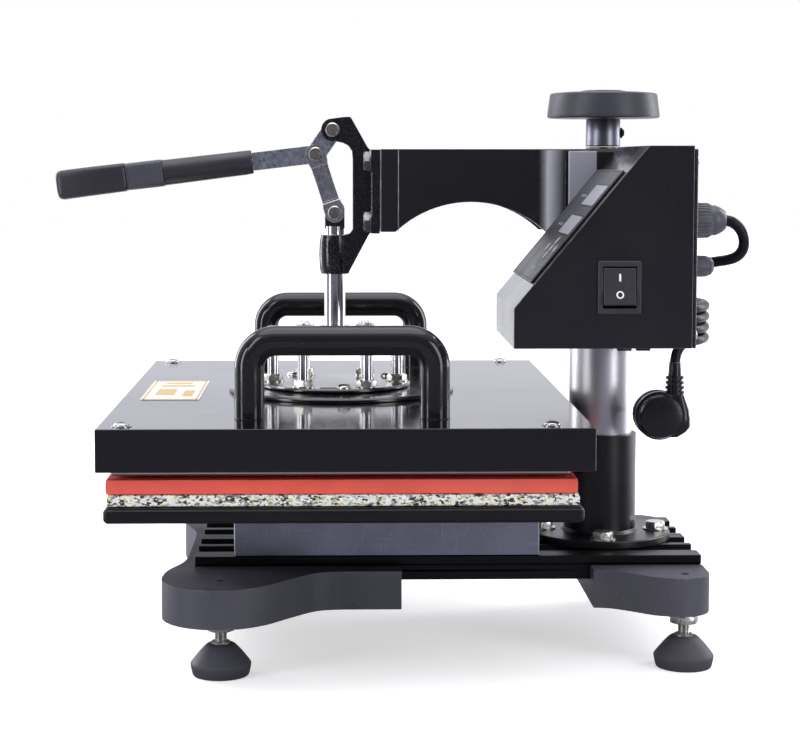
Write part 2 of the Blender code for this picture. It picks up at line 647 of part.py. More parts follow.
def plug():
    """An angled two-pin plug: a round face, a boot for the lead, and its pins pointing back."""
    x, y, z = PLUG
    neck_x = x + 0.0083
    boot_top = COIL_Z[0] - GAP
    item = turned("mains_plug",
                  [(0, boot_top - z), (0.0037, boot_top - z), (0.0037, 0.0290), (0.0056, 0.0282),
                   (0.0066, 0.0215), (0.0094, 0.0130), (0.0101, -0.0060), (0.0085, -0.0150),
                   (0, -0.0150)],
                  BLACK_PLASTIC, (neck_x, y, z), ARM_AXIS, steps=20)
    face = rod_mesh(0.0163, -0.0105, 0.0085, sides=28, axis="Y")
    boolean(item, cutter("plug_face", face, PLUG), "UNION")
    for side in (-1, 1):
        pin_mesh = rod_mesh(0.0024, 0.0070, 0.0275, sides=12, axis="Y")
        boolean(item, cutter(f"plug_pin{side}", pin_mesh, (x + 0.0095 * side, y, z)), "UNION")


# --- upper platen -------------------------------------------------------------------------
def lift_handle(name, y):
    """A U-shaped tube standing on the cover, its legs 117 mm apart."""
    middle, half, radius, bend = 0.0046, 0.0586, 0.0095, 0.0165
    foot_z = COVER[2][1] + GAP
    top = 0.2338 - radius
    left = arc((middle - half + bend, top - bend), bend, 180, 90, 6)
    right = arc((middle + half - bend, top - bend), bend, 90, 0, 6)
    path = [(middle - half, foot_z), *left, *right, (middle + half, foot_z)]
    return tube(name, [(x, y, z) for x, z in path], radius, BLACK_PAINT, PLATEN_AXIS, resolution=4)


def platen():
    bevel(add("heating_plate", slab_mesh(PLATE), ALUMINIUM, pivot=PLATEN_AXIS), 0.0015)
    fill = box_mesh((-0.135, -0.183, PLATE[2][1] + GAP), (0.142, 0.183, COVER[2][1] - SHEET - 0.0008))
    add("insulation_pad", fill, WOOL, pivot=PLATEN_AXIS)
    (x0, x1), half, (z0, z1) = COVER
    shell = open_box("platen_cover", (x0, -half, z0), (x1, half, z1), (0, 0, -1), SHEET, BLACK_PAINT,
                     PLATEN_AXIS)
    bevel(shell, 0.0012, 2)
    lift_handle("lift_handle_near", -0.153)
    lift_handle("lift_handle_far", 0.153)

    top = z1 + GAP
    turned("crown_base", [(0, top + 0.003), (0.0785, top + 0.003), (0.0797, top + 0.0018),
                          (0.0797, top), (0, top)],
           BLACK_PAINT, (0.0045, 0, 0), PLATEN_AXIS)
    crown_top = 0.2144
    disc = top + 0.003 + GAP
    crown = turned("crown_cage", [(0, disc + 0.0035), (0.0520, disc + 0.0035), (0.0533, disc + 0.0022),
                                  (0.0533, disc), (0, disc)],
                   BLACK_PAINT, (0, 0, 0), PLATEN_AXIS)
    cap = rod_mesh(0.0520, crown_top - 0.005, crown_top, sides=48)
    boolean(crown, cutter("crown_cap", cap), "UNION")
    for i in range(6):
        a = i * math.pi / 3
        post = rod_mesh(0.0040, disc + 0.001, 0.2204, sides=12)
        at = (0.044 * math.cos(a), 0.044 * math.sin(a), 0)
        boolean(crown, cutter(f"crown_post_{i}", post, at), "UNION")

    shaft = add("press_shaft", rod_mesh(SHAFT_R, crown_top + GAP, 0.2915, sides=32), CHROME,
                pivot=PLATEN_AXIS)
    cx, cz = SHAFT_PIVOT
    tongue = outline_mesh([[(-0.0070, 0.2900), (0.0070, 0.2900)] + arc((cx, cz), 0.0070, 0, 180, 14)],
                          -0.0027, 0.0027, "XZ")
    boolean(shaft, cutter("shaft_tongue", tongue), "UNION")
    boolean(shaft, cutter("tongue_bore", rod_mesh(PIN_R, -0.01, 0.01, sides=20, axis="Y"), (cx, 0, cz)))
    add("shaft_pin", rod_mesh(PIN_R - GAP, -0.0028, 0.0028, sides=20, axis="Y"), ZINC, (cx, 0, cz),
        PLATEN_AXIS)


# --- toggle lever -------------------------------------------------------------------------
def along_lever(distance, lift=0.0):
    """A point on the lever's straight part, measured from the link pivot towards the grip."""
    c, s = math.cos(LEVER_SLOPE), math.sin(LEVER_SLOPE)
    return (LINK_PIVOT[0] - distance * c - lift * s, LINK_PIVOT[1] - distance * s + lift * c)


def lever_block(start, end, half_height, half_width, end_grow=0.0):
    """A block along the lever, from start to end measured from the link pivot."""
    outline = [along_lever(start, half_height), along_lever(start, -half_height),
               along_lever(end, -half_height - end_grow), along_lever(end, half_height)]
    return outline_mesh([outline], -half_width, half_width, "XZ")


def lever():
    grip_start, grip_end = 0.0444, 0.1331
    bar = add("lever_bar", lever_block(0, grip_start, 0.0063, LEVER_HALF), CHROME, pivot=LEVER_AXIS)
    crank = outline_mesh([capsule(LEVER_PIVOT, LINK_PIVOT, 0.0070, 0.0070)], -LEVER_HALF, LEVER_HALF, "XZ")
    boolean(bar, cutter("lever_crank", crank, pivot=LEVER_AXIS), "UNION")
    tang = lever_block(grip_start - 0.002, grip_start + 0.060, 0.0030, 0.0026)
    boolean(bar, cutter("lever_tang", tang, pivot=LEVER_AXIS), "UNION")
    for name, (x, z) in (("lever_bore", LEVER_PIVOT), ("lever_link_bore", LINK_PIVOT)):
        hole = rod_mesh(PIN_R + GAP, -0.01, 0.01, sides=20, axis="Y")
        boolean(bar, cutter(name, hole, (x, 0, z), LEVER_AXIS))

    start = along_lever(grip_start + GAP)
    sleeve = rod_mesh(0.0086, 0, 0.1087 - grip_start, sides=24, axis="X")
    grip = add("lever_grip", sleeve, GRIP, (start[0], 0, start[1]), LEVER_AXIS)
    grip.rotation_euler = (0, math.pi - LEVER_SLOPE, 0)
    waist = bevel(cutter("lever_waist", lever_block(0.1080, 0.1336, 0.0094, 0.0094), pivot=LEVER_AXIS), 0.0022)
    boolean(grip, waist, "UNION")
    end = lever_block(grip_end, LEVER_REACH, 0.0098, 0.0120, 0.0008)
    paddle = bevel(cutter("lever_paddle", end, pivot=LEVER_AXIS), 0.0030, 2)
    boolean(grip, paddle, "UNION")
    room = lever_block(grip_start - 0.01, grip_start + 0.0605, 0.0033, 0.0029)
    boolean(grip, cutter("tang_room", room, pivot=LEVER_AXIS))


def links():
    y0, y1 = LINK_Y
    outline = capsule(LINK_PIVOT, SHAFT_PIVOT, 0.0068, 0.0067, half=0.0057)
    hole = rod_mesh(PIN_R + GAP, -0.02, 0.02, sides=20, axis="Y")
    for name, side in (("toggle_link_near", -1), ("toggle_link_far", 1)):
        plate = add(name, outline_mesh([outline], *sorted((side * y0, side * y1)), "XZ"), ZINC,
                    pivot=LINK_AXIS)
        boolean(plate, cutter(name + "_bore", hole, (LINK_PIVOT[0], 0, LINK_PIVOT[1])))
        rivet = rod_mesh(PIN_HEAD_R, *sorted((side * (y1 - 0.001), side * (y1 + 0.002))), sides=24, axis="Y")
        place = (SHAFT_PIVOT[0], 0, SHAFT_PIVOT[1])
        boolean(plate, cutter(name + "_rivet", rivet, place, LINK_AXIS), "UNION")
    pin("link_pin", LINK_PIVOT, y1 + GAP, 0.002, LINK_AXIS)


def build():
    base()
    column_parts()
    knob()
    arm()
    toggle_bracket()
    control_box()
    mains_lead()
    platen()
    lever()
    links()
    for item in PRESS.objects:
        if item.type == "MESH":
            smooth_shade(item)


build()
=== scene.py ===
"""Looks of the swing-away heat press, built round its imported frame.

Places are given from the press shaft, as in the part's source: at() moves them to the row frame.
"""
import math

import bmesh
import bpy
from mathutils import Matrix, Vector, noise


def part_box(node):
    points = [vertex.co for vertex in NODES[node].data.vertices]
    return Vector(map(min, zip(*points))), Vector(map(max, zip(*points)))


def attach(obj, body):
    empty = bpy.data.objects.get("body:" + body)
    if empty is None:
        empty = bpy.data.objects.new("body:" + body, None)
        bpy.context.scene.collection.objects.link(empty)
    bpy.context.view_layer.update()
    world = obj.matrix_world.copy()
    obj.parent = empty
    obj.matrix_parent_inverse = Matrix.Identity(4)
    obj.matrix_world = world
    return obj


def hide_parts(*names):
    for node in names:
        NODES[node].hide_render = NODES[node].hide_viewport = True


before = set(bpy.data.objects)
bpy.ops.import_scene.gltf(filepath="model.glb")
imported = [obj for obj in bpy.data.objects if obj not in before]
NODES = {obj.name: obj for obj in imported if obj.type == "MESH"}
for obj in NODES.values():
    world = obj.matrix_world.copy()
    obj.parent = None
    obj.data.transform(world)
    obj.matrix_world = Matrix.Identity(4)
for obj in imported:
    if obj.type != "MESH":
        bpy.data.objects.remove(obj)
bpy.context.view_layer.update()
SHAFT_X = sum(corner.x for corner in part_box("press_shaft")) / 2
COLUMN_X = 0.1895
COVER_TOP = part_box("platen_cover")[1].z
FLANGE_TOP = 0.0742
ARM_Z = (0.2879, 0.3453)
LEVER_PIVOT = (-0.0015, 0.3588)
LINK_PIVOT = (-0.0134, 0.3418)
SHAFT_PIVOT = (0.0, 0.3007)
LEVER_SLOPE = math.radians(6.84)
BOX_NEAR = -0.177
CROWN_TOP = 0.2144
X_AXIS, Y_AXIS, Z_AXIS = Vector((1, 0, 0)), Vector((0, 1, 0)), Vector((0, 0, 1))


def at(x, y, z):
    return Vector((x + SHAFT_X, y, z))


def shift(x, y, z):
    return Matrix.Translation(at(x, y, z))


def add(item):
    bpy.context.scene.collection.objects.link(item)
    return item


# --- camera, light and floor ----------------------------------------------------------------
def camera():
    data = bpy.data.cameras.new("camera")
    data.lens = 85.95
    data.sensor_width = 36
    data.sensor_fit = "HORIZONTAL"
    data.shift_x = 0.035
    data.shift_y = -0.060
    item = add(bpy.data.objects.new("camera", data))
    item.location = at(0, -1.3515, 0.3374)
    item.rotation_euler = (math.radians(90 - 4.714), 0, math.radians(-1.116))
    bpy.context.scene.camera = item


def area_light(name, place, target, size, power):
    data = bpy.data.lights.new(name, "AREA")
    data.shape = "RECTANGLE"
    data.size, data.size_y = size
    data.energy = power
    item = add(bpy.data.objects.new(name, data))
    item.location = place
    item.rotation_euler = (Vector(target) - Vector(place)).to_track_quat("-Z", "Y").to_euler()


def studio():
    """White to the camera; what the object reflects is white behind and above, dark in front."""
    bpy.context.scene.view_settings.view_transform = "Standard"
    world = bpy.data.worlds.new("world")
    bpy.context.scene.world = world
    world.use_nodes = True
    tree = world.node_tree
    way = tree.nodes.new("ShaderNodeTexCoord")
    split = tree.nodes.new("ShaderNodeSeparateXYZ")
    tree.links.new(way.outputs["Generated"], split.inputs[0])
    most = tree.nodes.new("ShaderNodeMath")
    most.operation = "MAXIMUM"
    for i, (axis, low, high, start, end) in enumerate((("Y", -0.30, 0.35, 0.11, 1.05),
                                                       ("Z", 0.45, 0.95, 0.0, 1.0))):
        ramp = tree.nodes.new("ShaderNodeMapRange")
        ramp.interpolation_type = "SMOOTHSTEP"
        for socket, value in (("From Min", low), ("From Max", high), ("To Min", start), ("To Max", end)):
            ramp.inputs[socket].default_value = value
        tree.links.new(split.outputs[axis], ramp.inputs["Value"])
        tree.links.new(ramp.outputs["Result"], most.inputs[i])
    lit = tree.nodes["Background"]
    lit.inputs["Color"].default_value = (0.91, 0.92, 1.0, 1)
    tree.links.new(most.outputs[0], lit.inputs["Strength"])
    seen = tree.nodes.new("ShaderNodeBackground")
    seen.inputs["Color"].default_value = (1, 1, 1, 1)
    ray = tree.nodes.new("ShaderNodeLightPath")
    choice = tree.nodes.new("ShaderNodeMixShader")
    tree.links.new(ray.outputs["Is Camera Ray"], choice.inputs[0])
    tree.links.new(lit.outputs[0], choice.inputs[1])
    tree.links.new(seen.outputs[0], choice.inputs[2])
    tree.links.new(choice.outputs[0], tree.nodes["World Output"].inputs["Surface"])
    sun = bpy.data.lights.new("ceiling", "SUN")
    sun.energy = 1.3
    sun.angle = math.radians(60)
    add(bpy.data.objects.new("ceiling", sun))
    area_light("key", (-1.25, -1.35, 1.35), (0, 0, 0.20), (0.45, 1.1), 7)
    area_light("low_left", (-1.50, -0.95, 0.42), (0.10, 0, 0.28), (0.34, 1.1), 8)
    area_light("fill", (1.20, -1.20, 0.60), (0.05, 0, 0.20), (0.50, 1.2), 8)
    area_light("strip_left", (-1.1, 0.7, 0.7), (0.1, 0, 0.25), (0.35, 1.3), 10)
    area_light("strip_right", (1.3, 0.5, 0.7), (0.1, 0, 0.25), (0.35, 1.3), 9)


def floor():
    """Pale; glossy rays see it darker in front of the press, so that black paint stays black."""
    mesh = bpy.data.meshes.new("floor")
    work = bmesh.new()
    bmesh.ops.create_grid(work, x_segments=1, y_segments=1, size=8)
    work.to_mesh(mesh)
    work.free()
    item = add(bpy.data.objects.new("floor", mesh))
    pale = Skin("floor", (0.93, 0.93, 0.93), 0.8, Specular_IOR_Level=0.1)
    pale.tint(pale.noise(3, 2), 0.985, 1.0)
    ray = pale.node("ShaderNodeLightPath")
    front = pale.between(pale.along("Y"), 0.50, -0.10)
    pale.paint_over(pale.both(ray.outputs["Is Glossy Ray"], front), (0.16, 0.16, 0.19))
    pale.shader.inputs["Emission Color"].default_value = (1, 1, 1, 1)
    pale.tree.links.new(pale.math("MULTIPLY", ray.outputs["Is Camera Ray"], 0.50),
                        pale.shader.inputs["Emission Strength"])
    mesh.materials.append(pale.material)


# --- materials --------------------------------------------------------------------------------
class Skin:
    """A Principled material with node-made detail, in metres of the row frame."""

    def __init__(self, name, colour, rough, metal=0.0, **sockets):
        self.material = bpy.data.materials.new(name)
        self.material.use_nodes = True
        self.tree = self.material.node_tree
        self.shader = self.tree.nodes["Principled BSDF"]
        self.base = colour
        self.shader.inputs["Base Color"].default_value = (*colour, 1)
        self.shader.inputs["Roughness"].default_value = rough
        self.shader.inputs["Metallic"].default_value = metal
        for socket, value in sockets.items():
            self.shader.inputs[socket.replace("_", " ")].default_value = value
        self.place = self.node("ShaderNodeTexCoord").outputs["Object"]
        self.colour = None
        self.normal = None

    def node(self, kind, inputs=(), **settings):
        made = self.tree.nodes.new(kind)
        for key, value in settings.items():
            setattr(made, key, value)
        for key, value in dict(inputs).items():
            if isinstance(value, bpy.types.NodeSocket):
                self.tree.links.new(value, made.inputs[key])
            else:
                made.inputs[key].default_value = value
        return made

    def spread(self, stretch):
        scaled = {"Vector": self.place, "Scale": stretch}
        return self.node("ShaderNodeMapping", scaled).outputs["Vector"]

    def noise(self, scale, detail=3.0, stretch=(1, 1, 1), distort=0.0):
        inputs = {"Vector": self.spread(stretch), "Scale": scale, "Detail": detail, "Distortion": distort}
        return self.node("ShaderNodeTexNoise", inputs).outputs["Fac"]

    def between(self, value, low, high, to_low=0.0, to_high=1.0):
        inputs = {"Value": value, "From Min": low, "From Max": high, "To Min": to_low, "To Max": to_high}
        return self.node("ShaderNodeMapRange", inputs).outputs["Result"]

    def math(self, operation, a, b):
        return self.node("ShaderNodeMath", {0: a, 1: b}, operation=operation).outputs[0]

    def both(self, *masks):
        """1 where every mask is 1."""
        product = masks[0]
        for mask in masks[1:]:
            product = self.math("MULTIPLY", product, mask)
        return product

    def along(self, axis):
        """The place along the row frame's X, Y or Z."""
        return self.node("ShaderNodeSeparateXYZ", {0: self.place}).outputs[axis]

    def grey(self, colour):
        return self.node("ShaderNodeRGBToBW", {0: colour}).outputs[0]

    def paint_over(self, mask, colour):
        """Another colour where mask is 1."""
        mix = self.node("ShaderNodeMix", {"Factor": mask}, data_type="RGBA")
        if self.colour is None:
            mix.inputs["A"].default_value = (*self.base, 1)
        else:
            self.tree.links.new(self.colour, mix.inputs["A"])
        if isinstance(colour, bpy.types.NodeSocket):
            self.tree.links.new(colour, mix.inputs["B"])
        else:
            mix.inputs["B"].default_value = (*colour, 1)
        self.colour = mix.outputs["Result"]
        self.tree.links.new(self.colour, self.shader.inputs["Base Color"])

    def tint(self, value, low, high):
        """Colour variation: the base colour at low to high of its strength."""
        dark = tuple(channel * low for channel in self.base)
        self.base = tuple(channel * high for channel in self.base)
        self.paint_over(self.math("SUBTRACT", 1.0, value), dark)

    def rough(self, value, low, high):
        self.tree.links.new(self.between(value, 0.3, 0.7, low, high), self.shader.inputs["Roughness"])

    def bump(self, height, depth):
        inputs = {"Height": height, "Distance": depth}
        if self.normal is not None:
            inputs["Normal"] = self.normal
        self.normal = self.node("ShaderNodeBump", inputs).outputs["Normal"]
        self.tree.links.new(self.normal, self.shader.inputs["Normal"])

    def edges(self, radius=0.0009):
        """1 along outer edges, broken up as wear is; skins paint these edges lighter, as wear and as a
        painted highlight.
        """
        soft = self.node("ShaderNodeBevel", {"Radius": radius}, samples=4).outputs["Normal"]
        flat = self.node("ShaderNodeNewGeometry").outputs["Normal"]
        same = self.node("ShaderNodeVectorMath", {0: soft, 1: flat}, operation="DOT_PRODUCT")
        edge = self.between(same.outputs["Value"], 0.97, 0.80)
        broken = self.between(self.noise(160, 4), 0.42, 0.62)
        return self.math("MULTIPLY", edge, broken)

    def specks(self, scale, amount, colour):
        """Small scattered marks, dust or flecks."""
        self.paint_over(self.between(self.noise(scale, 2), 1 - amount, 1.02 - amount), colour)


def painted(name, colour, rough, peel, edge_wear_and_highlight, **sockets):
    skin = Skin(name, colour, sum(rough) / 2, **sockets)
    skin.tint(skin.noise(24, 3), 0.75, 1.15)
    skin.specks(700, 0.26, tuple(channel + 0.05 for channel in colour))
    # Edges painted lighter: wear, and a painted highlight along them.
    skin.paint_over(skin.edges(), edge_wear_and_highlight)
    skin.rough(skin.noise(14, 5, distort=0.6), *rough)
    skin.bump(skin.noise(1100, 2), peel)
    return skin


def metal(name, colour, rough, streak=(1, 1, 1), scale=60, depth=0.00002, tint=(0.85, 1.05)):
    skin = Skin(name, colour, sum(rough) / 2, 1.0)
    skin.tint(skin.noise(scale, 4, streak), *tint)
    skin.rough(skin.noise(scale * 1.7, 5, streak), *rough)
    skin.bump(skin.noise(scale * 6, 3, streak), depth)
    return skin


def sheet_steel():
    """Galvanised sheet with a soft bloom and fine scratches both ways."""
    skin = metal("galvanised", (0.42, 0.44, 0.53), (0.28, 0.44), (1, 1, 1), 40)
    grain = skin.node("ShaderNodeTexVoronoi", {"Vector": skin.place, "Scale": 90.0}).outputs["Color"]
    skin.paint_over(skin.between(skin.noise(9, 5), 0.35, 0.75, 0.0, 0.30), (0.66, 0.68, 0.76))
    skin.paint_over(skin.math("MULTIPLY", 0.10, skin.grey(grain)), (0.20, 0.21, 0.26))
    for stretch in ((3, 90, 90), (60, 60, 4)):
        scratch = skin.between(skin.noise(22, 2, stretch, 0.4), 0.66, 0.69, 0.0, 0.5)
        skin.paint_over(scratch, (0.80, 0.81, 0.86))
    return skin


def casting():
    skin = Skin("casting", (0.066, 0.065, 0.088), 0.5)
    skin.tint(skin.noise(40, 5), 0.80, 1.15)
    skin.specks(520, 0.30, (0.12, 0.12, 0.15))
    # Edges painted lighter: wear, and a painted highlight along them.
    skin.paint_over(skin.edges(0.0012), (0.17, 0.17, 0.20))
    skin.rough(skin.noise(20, 4), 0.42, 0.62)
    skin.bump(skin.noise(420, 4), 0.00016)
    return skin


def enamel():
    """Thick paint over a rough casting, flecked, with a pale flecked strip down the near edge of the
    bracket's flange.
    """
    skin = Skin("rough_enamel", (0.007, 0.007, 0.009), 0.3)
    skin.specks(2000, 0.36, (0.15, 0.15, 0.17))
    x, y, z = (skin.along(axis) for axis in "XYZ")
    strip = skin.both(skin.between(x, 0.0234 + SHAFT_X, 0.0240 + SHAFT_X),
                      skin.between(x, 0.0262 + SHAFT_X, 0.0256 + SHAFT_X),
                      skin.between(y, -0.0235, -0.0242),
                      skin.between(z, 0.2985, 0.3000),
                      skin.between(z, 0.3300, 0.3285),
                      skin.between(skin.noise(700, 3), 0.38, 0.60))
    skin.paint_over(strip, (0.42, 0.42, 0.46))
    skin.paint_over(skin.edges(0.0010), (0.08, 0.08, 0.09))
    skin.rough(skin.noise(60, 4), 0.10, 0.24)
    skin.bump(skin.noise(130, 3), 0.0002)
    skin.bump(skin.noise(900, 2), 0.00006)
    return skin


def bracket_reflection_paint():
    """Pale grey on the bracket's part outside the control box, painted there as a reflection on its flat near
    face; black paint beyond it.
    """
    # Painted reflection: the pale base colour stands for light reflected by the bracket's flat near face.
    skin = Skin("bracket_reflection_paint", (0.36, 0.36, 0.44), 0.4)
    skin.tint(skin.noise(30, 4, (1, 1, 0.3)), 0.80, 1.10)
    skin.paint_over(skin.between(skin.along("X"), 0.1786 + SHAFT_X, 0.1792 + SHAFT_X), (0.008, 0.008, 0.010))
    skin.rough(skin.noise(40, 3), 0.30, 0.46)
    skin.bump(skin.noise(900, 2), 0.00004)
    return skin


def cheek_paint_with_highlight():
    """Satin black with a painted highlight down the middle of the curved cheek: a pale band that stands for
    light on the curve.
    """
    skin = painted("cheek_paint_with_highlight", (0.008, 0.008, 0.012), (0.24, 0.38), 0.00004, (0.12, 0.12, 0.13))
    along = skin.along("X")
    # Painted highlight: a pale band down the middle of the cheek.
    highlight_band = skin.both(skin.between(along, 0.1420 + SHAFT_X, 0.1480 + SHAFT_X),
                     skin.between(along, 0.1575 + SHAFT_X, 0.1500 + SHAFT_X),
                     skin.between(skin.noise(90, 3, (1, 1, 0.1)), 0.2, 0.7, 0.75, 1.0))
    skin.paint_over(highlight_band, (0.34, 0.34, 0.41))
    return skin


def flecked_foam():
    """Bonded sponge: cream crumbs, with black, yellow and grey ones among them."""
    skin = Skin("foam_fleck", (0.78, 0.78, 0.71), 0.95)
    warp = skin.node("ShaderNodeTexNoise", {"Vector": skin.place, "Scale": 520.0, "Detail": 2.0})
    pushed = skin.node("ShaderNodeVectorMath", {0: warp.outputs["Color"], 1: (0.0026, 0.0026, 0.0026)},
                       operation="MULTIPLY")
    moved = skin.node("ShaderNodeVectorMath", {0: skin.place, 1: pushed.outputs[0]}, operation="ADD")
    squeezed = skin.node("ShaderNodeMapping", {"Vector": moved.outputs[0], "Scale": (0.8, 0.8, 1.4)})
    crumbs = skin.node("ShaderNodeTexVoronoi", {"Vector": squeezed.outputs[0], "Scale": 620.0})
    pick = skin.node("ShaderNodeSeparateColor", {0: crumbs.outputs["Color"]})
    skin.paint_over(skin.between(pick.outputs["Blue"], 0.0, 1.0, 0.0, 0.6), (0.84, 0.84, 0.82))
    for channel, low, colour in (("Red", 0.77, (0.035, 0.035, 0.040)), ("Green", 0.80, (0.60, 0.52, 0.26)),
                                 ("Green", 0.90, (0.25, 0.27, 0.28)), ("Blue", 0.94, (0.35, 0.42, 0.40))):
        skin.paint_over(skin.between(pick.outputs[channel], low, low + 0.01), colour)
    skin.bump(crumbs.outputs["Distance"], 0.0006)
    skin.bump(skin.noise(1500, 3), 0.0003)
    return skin


def worn_steel_with_highlights(name, colour):
    """Bright-plated strip steel with scratches and dull patches, and its edges painted near-white as a
    highlight.
    """
    skin = metal(name, colour, (0.18, 0.36), (1, 1, 1), 150)
    for stretch in ((6, 60, 90), (90, 60, 8)):
        scratch = skin.between(skin.noise(16, 2, stretch, 0.5), 0.63, 0.67, 0.0, 0.6)
        skin.paint_over(scratch, (0.80, 0.80, 0.86))
    skin.paint_over(skin.between(skin.noise(420, 3), 0.60, 0.66, 0.0, 0.5), (0.10, 0.10, 0.13))
    # Painted highlight: near-white along the edges.
    skin.paint_over(skin.edges(0.0016), (0.95, 0.95, 0.98))
    return skin


def red_silicone():
    skin = Skin("silicone_red", (0.76, 0.090, 0.060), 0.55)
    skin.tint(skin.noise(60, 4), 0.80, 1.05)
    skin.specks(900, 0.25, (0.85, 0.22, 0.19))
    skin.paint_over(skin.between(skin.noise(7, 5), 0.55, 0.80, 0.0, 0.25), (0.80, 0.20, 0.18))
    skin.rough(skin.noise(90, 3), 0.45, 0.68)
    skin.bump(skin.noise(900, 2), 0.00008)
    return skin


def moulded(name, colour, rough, grain=900, depth=0.00004, **sockets):
    skin = Skin(name, colour, sum(rough) / 2, **sockets)
    skin.tint(skin.noise(45, 4), 0.80, 1.10)
    skin.specks(800, 0.27, tuple(channel * 2.2 + 0.01 for channel in colour))
    skin.paint_over(skin.edges(0.0006), tuple(channel * 3 + 0.02 for channel in colour))
    skin.rough(skin.noise(30, 4), *rough)
    skin.bump(skin.noise(grain, 2), depth)
    return skin


def wool():
    skin = Skin("insulation", (0.80, 0.78, 0.72), 0.95)
    skin.tint(skin.noise(300, 5, (0.2, 1, 1)), 0.75, 1.05)
    skin.bump(skin.noise(500, 4, (0.2, 1, 1)), 0.0006)
    return skin


def printed(name, colour, rough=0.45):
    skin = Skin(name, colour, rough)
    skin.tint(skin.noise(120, 3), 0.92, 1.02)
    skin.bump(skin.noise(1400, 1), 0.00002)
    return skin


def screen():
    """A display window: pale grey with rows of faint unlit cells."""
    skin = Skin("screen", (0.32, 0.32, 0.36), 0.30)
    cells = skin.node("ShaderNodeTexBrick", {"Vector": skin.place, "Scale": 60.0, "Color1": (0, 0, 0, 1),
                                             "Color2": (0.15, 0.15, 0.15, 1), "Mortar": (0.6, 0.6, 0.6, 1)})
    skin.paint_over(skin.grey(cells.outputs["Color"]), (0.30, 0.30, 0.33))
    skin.bump(skin.noise(900, 1), 0.00001)
    return skin


# --- shapes -----------------------------------------------------------------------------------
def rounding_group():
    """Geometry nodes that shade smooth, keeping edges over a stated angle sharp."""
    group = bpy.data.node_groups.new("shade_by_angle", "GeometryNodeTree")
    group.interface.new_socket("Geometry", in_out="INPUT", socket_type="NodeSocketGeometry")
    group.interface.new_socket("Geometry", in_out="OUTPUT", socket_type="NodeSocketGeometry")
    start = group.nodes.new("NodeGroupInput")
    end = group.nodes.new("NodeGroupOutput")
    faces = group.nodes.new("GeometryNodeSetShadeSmooth")
    faces.domain = "FACE"
    faces.inputs["Shade Smooth"].default_value = True
    sharp = group.nodes.new("GeometryNodeSetShadeSmooth")
    sharp.domain = "EDGE"
    sharp.inputs["Shade Smooth"].default_value = False
    angle = group.nodes.new("GeometryNodeInputMeshEdgeAngle")
    over = group.nodes.new("FunctionNodeCompare")
    over.inputs["B"].default_value = math.radians(33)
    group.links.new(angle.outputs["Unsigned Angle"], over.inputs["A"])
    group.links.new(over.outputs[0], sharp.inputs["Selection"])
    group.links.new(start.outputs[0], faces.inputs["Geometry"])
    group.links.new(faces.outputs[0], sharp.inputs["Geometry"])
    group.links.new(sharp.outputs[0], end.inputs[0])
    return group


SHADING = rounding_group()


def finish_edges(item, width, segments=2):
    if width:
        bevel = item.modifiers.new("Bevel", "BEVEL")
        bevel.width = width
        bevel.segments = segments
        bevel.limit_method = "ANGLE"
        bevel.angle_limit = math.radians(35)
    shade = item.modifiers.new("Shading", "NODES")
    shade.node_group = SHADING
    if width:
        flat = item.modifiers.new("Normals", "WEIGHTED_NORMAL")
        flat.keep_sharp = True
        flat.weight = 100


def dress(name, skin, width=0.0, segments=2):
    """A CAD node whose shape stays: it gets its material and softened edges."""
    item = NODES[name]
    weld = item.modifiers.new("Weld", "WELD")
    weld.merge_threshold = 0.000005
    finish_edges(item, width, segments)
    item.data.materials.clear()
    item.data.materials.append(SKINS[skin].material)


def piece(name, work, body, skin, stands_for=(), width=0.0):
    """A new named piece from work: on body, in slot, in place of the CAD nodes it stands for."""
    mesh = bpy.data.meshes.new(name)
    bmesh.ops.recalc_face_normals(work, faces=work.faces)
    work.to_mesh(mesh)
    work.free()
    item = add(bpy.data.objects.new(name, mesh))
    mesh.materials.append(SKINS[skin].material)
    finish_edges(item, width)
    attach(item, body)
    if stands_for:
        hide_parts(*stands_for)
    return item


def basis(origin, direction):
    """A frame whose z runs along direction, at origin."""
    z = Vector(direction).normalized()
    x = Z_AXIS.cross(z)
    if x.length < 0.001:
        x = Y_AXIS.cross(z)
    x.normalize()
    turned = Matrix((x, z.cross(x), z)).transposed().to_4x4()
    return Matrix.Translation(origin) @ turned


def loft(rings, work=None, closed=False, caps=True):
    """Joins rings of equal numbers of points with quads."""
    work = work or bmesh.new()
    made = [[work.verts.new(point) for point in ring] for ring in rings]
    pairs = list(zip(made, made[1:]))
    if closed:
        pairs.append((made[-1], made[0]))
    for a, b in pairs:
        for i in range(len(a)):
            j = (i + 1) % len(a)
            work.faces.new((a[i], a[j], b[j], b[i]))
    if caps and not closed:
        work.faces.new(list(reversed(made[0])))
        work.faces.new(made[-1])
    return work


def circle(radius, height, steps, place=Matrix.Identity(4), shape=None):
    ring = []
    for i in range(steps):
        angle = 2 * math.pi * i / steps
        r = shape(angle, radius) if shape else radius
        ring.append(place @ Vector((r * math.cos(angle), r * math.sin(angle), height)))
    return ring


def lathe(profile, place, steps=48, work=None, shape=None):
    """A turned solid: (radius, height) points from one end to the other."""
    return loft([circle(max(r, 0.00001), h, steps, place, shape) for r, h in profile], work)


def washer(place, outer, inner, low, high, steps, work):
    corners = ((outer, low), (outer, high), (inner, high), (inner, low))
    loft([circle(r, h, steps, place) for r, h in corners], work, closed=True)


def hexagon(angle, across):
    """The radius at that angle of a hexagon, whose flats are that far from its middle."""
    return across / math.cos((angle % (math.pi / 3)) - math.pi / 6)


